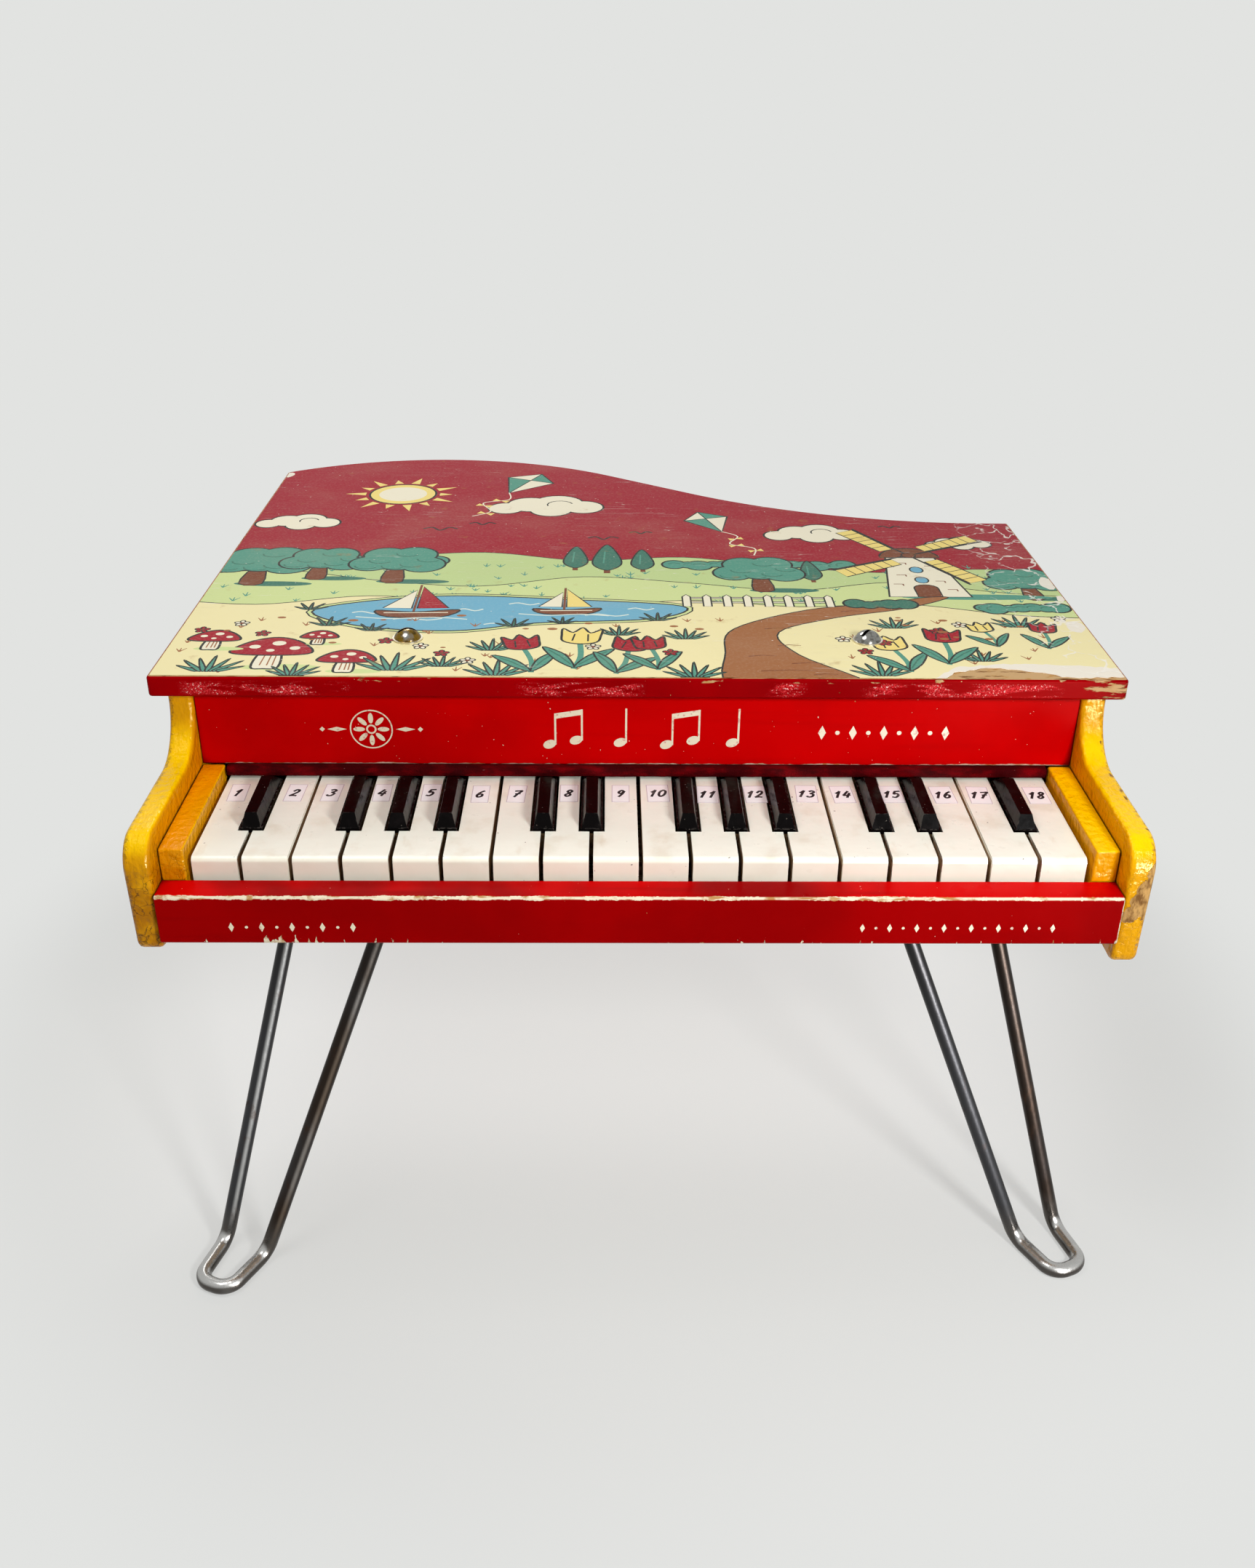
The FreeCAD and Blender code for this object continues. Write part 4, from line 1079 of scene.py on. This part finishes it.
def diamond(x, y, wide, tall):
    return [([(x - wide, y), (x, y - tall), (x + wide, y), (x, y + tall)], "stencil")]


def rosette(x, y, size):
    shapes = []
    for i in range(8):
        petal = oval(0.62 * size, 0, 0.3 * size, 0.13 * size, count=14)
        shapes.append((turned(petal, 45 * i, x, y), "stencil"))
    for radius, count, width in ((0.22, 20, 0.09), (1.06, 40, 0.07)):
        ring = oval(x, y, radius * size, radius * size, count=count)
        shapes += stroke(ring + ring[:1], width * size, "stencil")
    for side in (-1, 1):
        shapes += diamond(x + side * 1.75 * size, y, 0.5 * size, 0.13 * size)
        shapes += diamond(x + side * 2.5 * size, y, 0.14 * size, 0.14 * size)
    return shapes


def diamond_row(x0, x1, y, size, count):
    """Diamonds and dots in turn."""
    shapes = []
    for i in range(count):
        x = x0 + (x1 - x0) * i / (count - 1)
        dot = [(oval(x, y, 0.3 * size, 0.3 * size, count=12), "stencil")]
        shapes += dot if i % 2 else diamond(x, y, 0.5 * size, size)
    return shapes


def ornament(name, shapes, low, high, finish):
    """Paints shapes around the middle height of a front, out of a sheet that shows nowhere else."""
    sheet = rectangle(SHEET_REACH, SHEET_REACH)
    middle = (low.z + high.z) / 2
    place = lambda x, z: Vector((x * MM, low.y - PAINT_THICKNESS - SEAT, middle + z * MM))
    flat_piece(name, "case", [(sheet, None)] + shapes, place, PAINT_THICKNESS, finish)


def ornaments(finish):
    shapes = rosette(-116, -1, 8.5)
    shapes += eighth_pair(-33, -8, 17) + note(-8, -7, 17) + eighth_pair(18, -8, 17) + note(41, -7, 17)
    shapes += diamond_row(80, 134, -2, 3.4, 9)
    ornament("nameboard_ornament", shapes, board_low, board_high, finish)
    shapes = diamond_row(-162, -114, -3, 2.2, 9) + diamond_row(88, 164, -3, 2.0, 15)
    ornament("rail_ornament", shapes, rail_low, rail_high, finish)


# Cloth pieces
BAR_SIDES = 20
BAR_STEP = 2.5 * MM
RIPPLE_LENGTH = 14 * MM


def soft_bar(name, node, finish, squareness, ripple):
    """A bar of cloth in the space of a CAD node, its section uneven along its length."""
    low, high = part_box(node)
    middle = (low + high) / 2
    half = (high - low) / 2
    stations = int(2 * half.x / BAR_STEP)
    points = []
    for i in range(stations + 1):
        x = low.x + 2 * half.x * i / stations
        for j in range(BAR_SIDES):
            a = TURN * j / BAR_SIDES
            c, s = math.cos(a), math.sin(a)
            spot = Vector((x / RIPPLE_LENGTH, 1.3 * c, 1.3 * s))
            swell = 1 - ripple * (0.5 + 0.5 * noise.noise(spot)) - 0.4 * ripple * abs(noise.noise(spot * 3.1))
            y = math.copysign(abs(c) ** squareness, c) * half.y * swell
            z = math.copysign(abs(s) ** squareness, s) * half.z * swell
            points.append((x, middle.y + y, middle.z + z))
    faces = [list(range(BAR_SIDES))[::-1]]
    for i in range(stations):
        for j in range(BAR_SIDES):
            a = i * BAR_SIDES + j
            b = i * BAR_SIDES + (j + 1) % BAR_SIDES
            faces.append([a, b, b + BAR_SIDES, a + BAR_SIDES])
    faces.append(list(range(stations * BAR_SIDES, (stations + 1) * BAR_SIDES)))
    mesh = bpy.data.meshes.new(name)
    mesh.from_pydata(points, [], faces)
    mesh.flip_normals()
    mesh.polygons.foreach_set("use_smooth", [True] * len(faces))
    mesh.materials.append(finish)
    piece = new_piece(name, mesh)
    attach(piece, "case")
    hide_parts(node)


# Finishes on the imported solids
WELD_GAP = 2e-6
FLAT_ANGLE = math.radians(0.4)
SHARP_ANGLE = math.radians(32)


def shade_smooth_group():
    group = bpy.data.node_groups.new("shade_smooth", "GeometryNodeTree")
    for way in ("INPUT", "OUTPUT"):
        group.interface.new_socket("Geometry", in_out=way, socket_type="NodeSocketGeometry")
    graph = Graph(group)
    shade = graph.value("GeometryNodeSetShadeSmooth", {"Geometry": graph.value("NodeGroupInput")})
    graph.add("NodeGroupOutput", {0: shade})
    return group


def soften(piece, width):
    """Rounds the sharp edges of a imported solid."""
    add_modifier(piece, "weld", "WELD", merge_threshold=WELD_GAP)
    add_modifier(piece, "flat_faces", "DECIMATE", decimate_type="DISSOLVE", angle_limit=FLAT_ANGLE)
    add_modifier(piece, "shade", "NODES", node_group=smooth_group)
    add_modifier(piece, "soft_edges", "BEVEL", width=width, segments=3, limit_method="ANGLE",
                 angle_limit=SHARP_ANGLE)
    add_modifier(piece, "weighted", "WEIGHTED_NORMAL", keep_sharp=False)


frame_slots = {part["node"]: part["material_slot"] for part in frame["record"]["subparts"]}
smooth_group = shade_smooth_group()
slot_finishes = {
    "white_key": ivory_covers("key_covers"),
    "black_key": ebony_caps("key_caps"),
    "red_paint": red_enamel("red_enamel"),
    "yellow_paint": yellow_enamel("yellow_enamel"),
    "bare_wood": bare_wood("raw_board", (0.08, 1, 1)),
    "velvet": pile("velvet", tone(62, 0, 4), tone(120, 0, 8)),
    "felt": pile("felt", tone(70, 84, 62), tone(116, 128, 98)),
    "printed_paper": lithograph("lid_lithograph"),
    "nickel": screw_metal("screw_plate"),
    "cast_iron": plain_metal("cast_iron", tone(74, 74, 76), tone(48, 46, 46), 0.6, 0.2),
    "tone_steel": plain_metal("tone_steel", tone(178, 178, 176), tone(132, 128, 122), 0.3, 0.02),
    "leg_steel": plain_metal("plate_steel", tone(112, 112, 112), tone(76, 64, 54), 0.35, 0.05),
}
node_finishes = {
    "lid": red_enamel("red_lid", tone(157, 0, 5), tone(137, 0, 5), worn=lid_wear, rubbed=lid_rubs,
                      raw=tone(198, 162, 116), dark=SPLINTER),
    "nameboard": red_enamel("red_nameboard", tone(206, 0, 2), tone(189, 0, 2), worn=board_wear),
    "front_rail": red_enamel("red_rail", tone(158, 0, 2), tone(143, 0, 2), rail_glow, rail_wear),
    "right_cheek": yellow_enamel("yellow_right_arm", worn=arm_wear, soil_and_shade=0.25),
    "left_cheek": yellow_enamel("yellow_left_arm", soil_and_shade=0.9),
    "left_key_block": yellow_enamel("yellow_left_block", tone(238, 152, 0), YELLOW, soil_and_shade=0.4),
    "right_key_block": yellow_enamel("yellow_right_block", tone(255, 200, 0), tone(250, 180, 0)),
    "front_left_leg": leg_wire("left_leg_wire", "front_left_leg"),
    "front_right_leg": leg_wire("right_leg_wire", "front_right_leg"),
    "rear_leg": leg_wire("rear_leg_wire", "rear_leg"),
    "lid_washers": plain_metal("washer_plate", tone(232, 228, 218), tone(196, 186, 164), 0.25, 0.02),
}
SOFT_EDGES = {"white_key": 0.35 * MM, "black_key": 0.4 * MM, "yellow_paint": 1.0 * MM, "red_paint": 0.6 * MM}
ARM_EDGE = 2.2 * MM
for name, piece in nodes.items():
    slot = frame_slots[name]
    piece.data.materials.clear()
    piece.data.materials.append(node_finishes.get(name) or slot_finishes[slot])
    if slot in SOFT_EDGES:
        soften(piece, ARM_EDGE if name.endswith("cheek") else SOFT_EDGES[slot])

lid_print(slot_finishes["printed_paper"])
stickers(sticker_paper("sticker_paper"))
ornaments(stencil_paint("stencil_paint"))
soft_bar("velvet_strip", "nameboard_felt", slot_finishes["velvet"], 0.4, 0.08)
soft_bar("rest_felt", "back_rest_felt", slot_finishes["felt"], 0.25, 0.1)
soft_bar("stop_felt", "front_stop_felt", slot_finishes["felt"], 0.25, 0.1)


# Stage: a pale floor, four lamps, an even sky, and the camera of the photograph
BACKGROUND = tone(226, 227, 225)
CAMERA_PLACE = Vector((-13.602 * MM, key_front - 498.792 * MM, 504.196 * MM))
CAMERA_PAN, CAMERA_TILT, CAMERA_ROLL = 0.0158, 0.4874, 0.0103
FOCAL_PIXELS, FRAME_HEIGHT_PIXELS, SENSOR = 2000, 2156, 36.0
FLOOR_REACH = 60.0
FLOOR_EVENNESS = 0.6
FLOOR_FADE = (0.27, 0.42)
FILL_FADE = (0.15, 0.34)
FILL_FRONT = (-0.06, -0.22)
SKY_STRENGTH = 0.27


def floor():
    """Even from afar. Near the object it shows part of the light and shadow that falls on it."""
    mesh = bpy.data.meshes.new("floor")
    mesh.from_pydata([(x, y, 0.0) for x, y in rectangle(FLOOR_REACH, FLOOR_REACH)], [], [[0, 1, 2, 3]])
    f = Finish("pale_floor")
    f.colour = f.blend(BACKGROUND, tone(222, 223, 221), f.noise(400))
    mesh.materials.append(f.finish(Roughness=1.0, Specular_IOR_Level=0.0))
    away = f.value("ShaderNodeVectorMath", {0: f.place}, "Value", operation="LENGTH")
    even = away.between(*FLOOR_FADE).spread(FLOOR_EVENNESS, 1.0)
    open_floor = f.y.between(*FILL_FRONT).most(away.between(*FILL_FADE))
    plain = f.value("ShaderNodeEmission", {"Color": f.blend(tone(255, 255, 254), BACKGROUND, open_floor)})
    mix = f.value("ShaderNodeMixShader", {0: f.seen() * even, 1: f.surface.outputs[0], 2: plain})
    f.give(f.tree.nodes["Material Output"].inputs["Surface"], mix)
    piece = new_piece("floor", mesh)


def sky():
    world = bpy.data.worlds.new("studio")
    world.use_nodes = True
    graph = Graph(world.node_tree)
    light = graph.tree.nodes["Background"]
    graph.give(light.inputs["Color"], (1.0, 1.0, 1.0, 1.0))
    graph.give(light.inputs["Strength"], SKY_STRENGTH)
    plain = graph.value("ShaderNodeBackground", {"Color": BACKGROUND})
    mix = graph.value("ShaderNodeMixShader", {0: graph.seen(), 1: light.outputs[0], 2: plain})
    graph.give(graph.tree.nodes["World Output"].inputs[0], mix)
    bpy.context.scene.world = world


def camera():
    lens = bpy.data.cameras.new("camera")
    lens.sensor_fit = "VERTICAL"
    lens.sensor_height = SENSOR
    lens.lens = FOCAL_PIXELS * SENSOR / FRAME_HEIGHT_PIXELS
    lens.clip_start = 0.01
    lens.clip_end = 200.0
    ahead = Matrix(((1, 0, 0), (0, 0, -1), (0, 1, 0)))
    view = Matrix.Rotation(CAMERA_ROLL, 3, "Z") @ Matrix.Rotation(CAMERA_TILT, 3, "X")
    view = view @ ahead @ Matrix.Rotation(CAMERA_PAN, 3, "Z")
    turn = Matrix((view[0], -view[1], -view[2])).transposed()
    piece = new_piece("camera", lens)
    piece.matrix_world = Matrix.Translation(CAMERA_PLACE) @ turn.to_4x4()
    bpy.context.scene.camera = piece


def softbox(name, place, aim, size, power):
    """A round lamp near the object."""
    light = bpy.data.lights.new(name, "AREA")
    light.shape = "DISK"
    light.size = size
    light.energy = power
    piece = new_piece(name, light)
    piece.location = place
    piece.rotation_euler = (Vector(place) - Vector(aim)).to_track_quat("Z", "Y").to_euler()
    return piece


floor()
softbox("key", (0.3, key_front - 0.45, 0.52), aim=(0.0, -0.15, 0.1), size=0.12, power=3.12)
softbox("overhead", (-0.3, -0.25, 1.0), aim=(0.0, -0.05, 0.2), size=0.45, power=2.7)
softbox("back", (-0.2, 0.45, 0.75), aim=(0.0, 0.07, 0.25), size=0.3, power=1.4)
card = softbox("card", (0.36, -0.58, 0.18), aim=(0.196, -0.114, 0.236), size=0.22, power=11.0)
card.visible_camera = card.visible_diffuse = False
sky()
camera()
bpy.context.scene.view_settings.view_transform = "Standard"
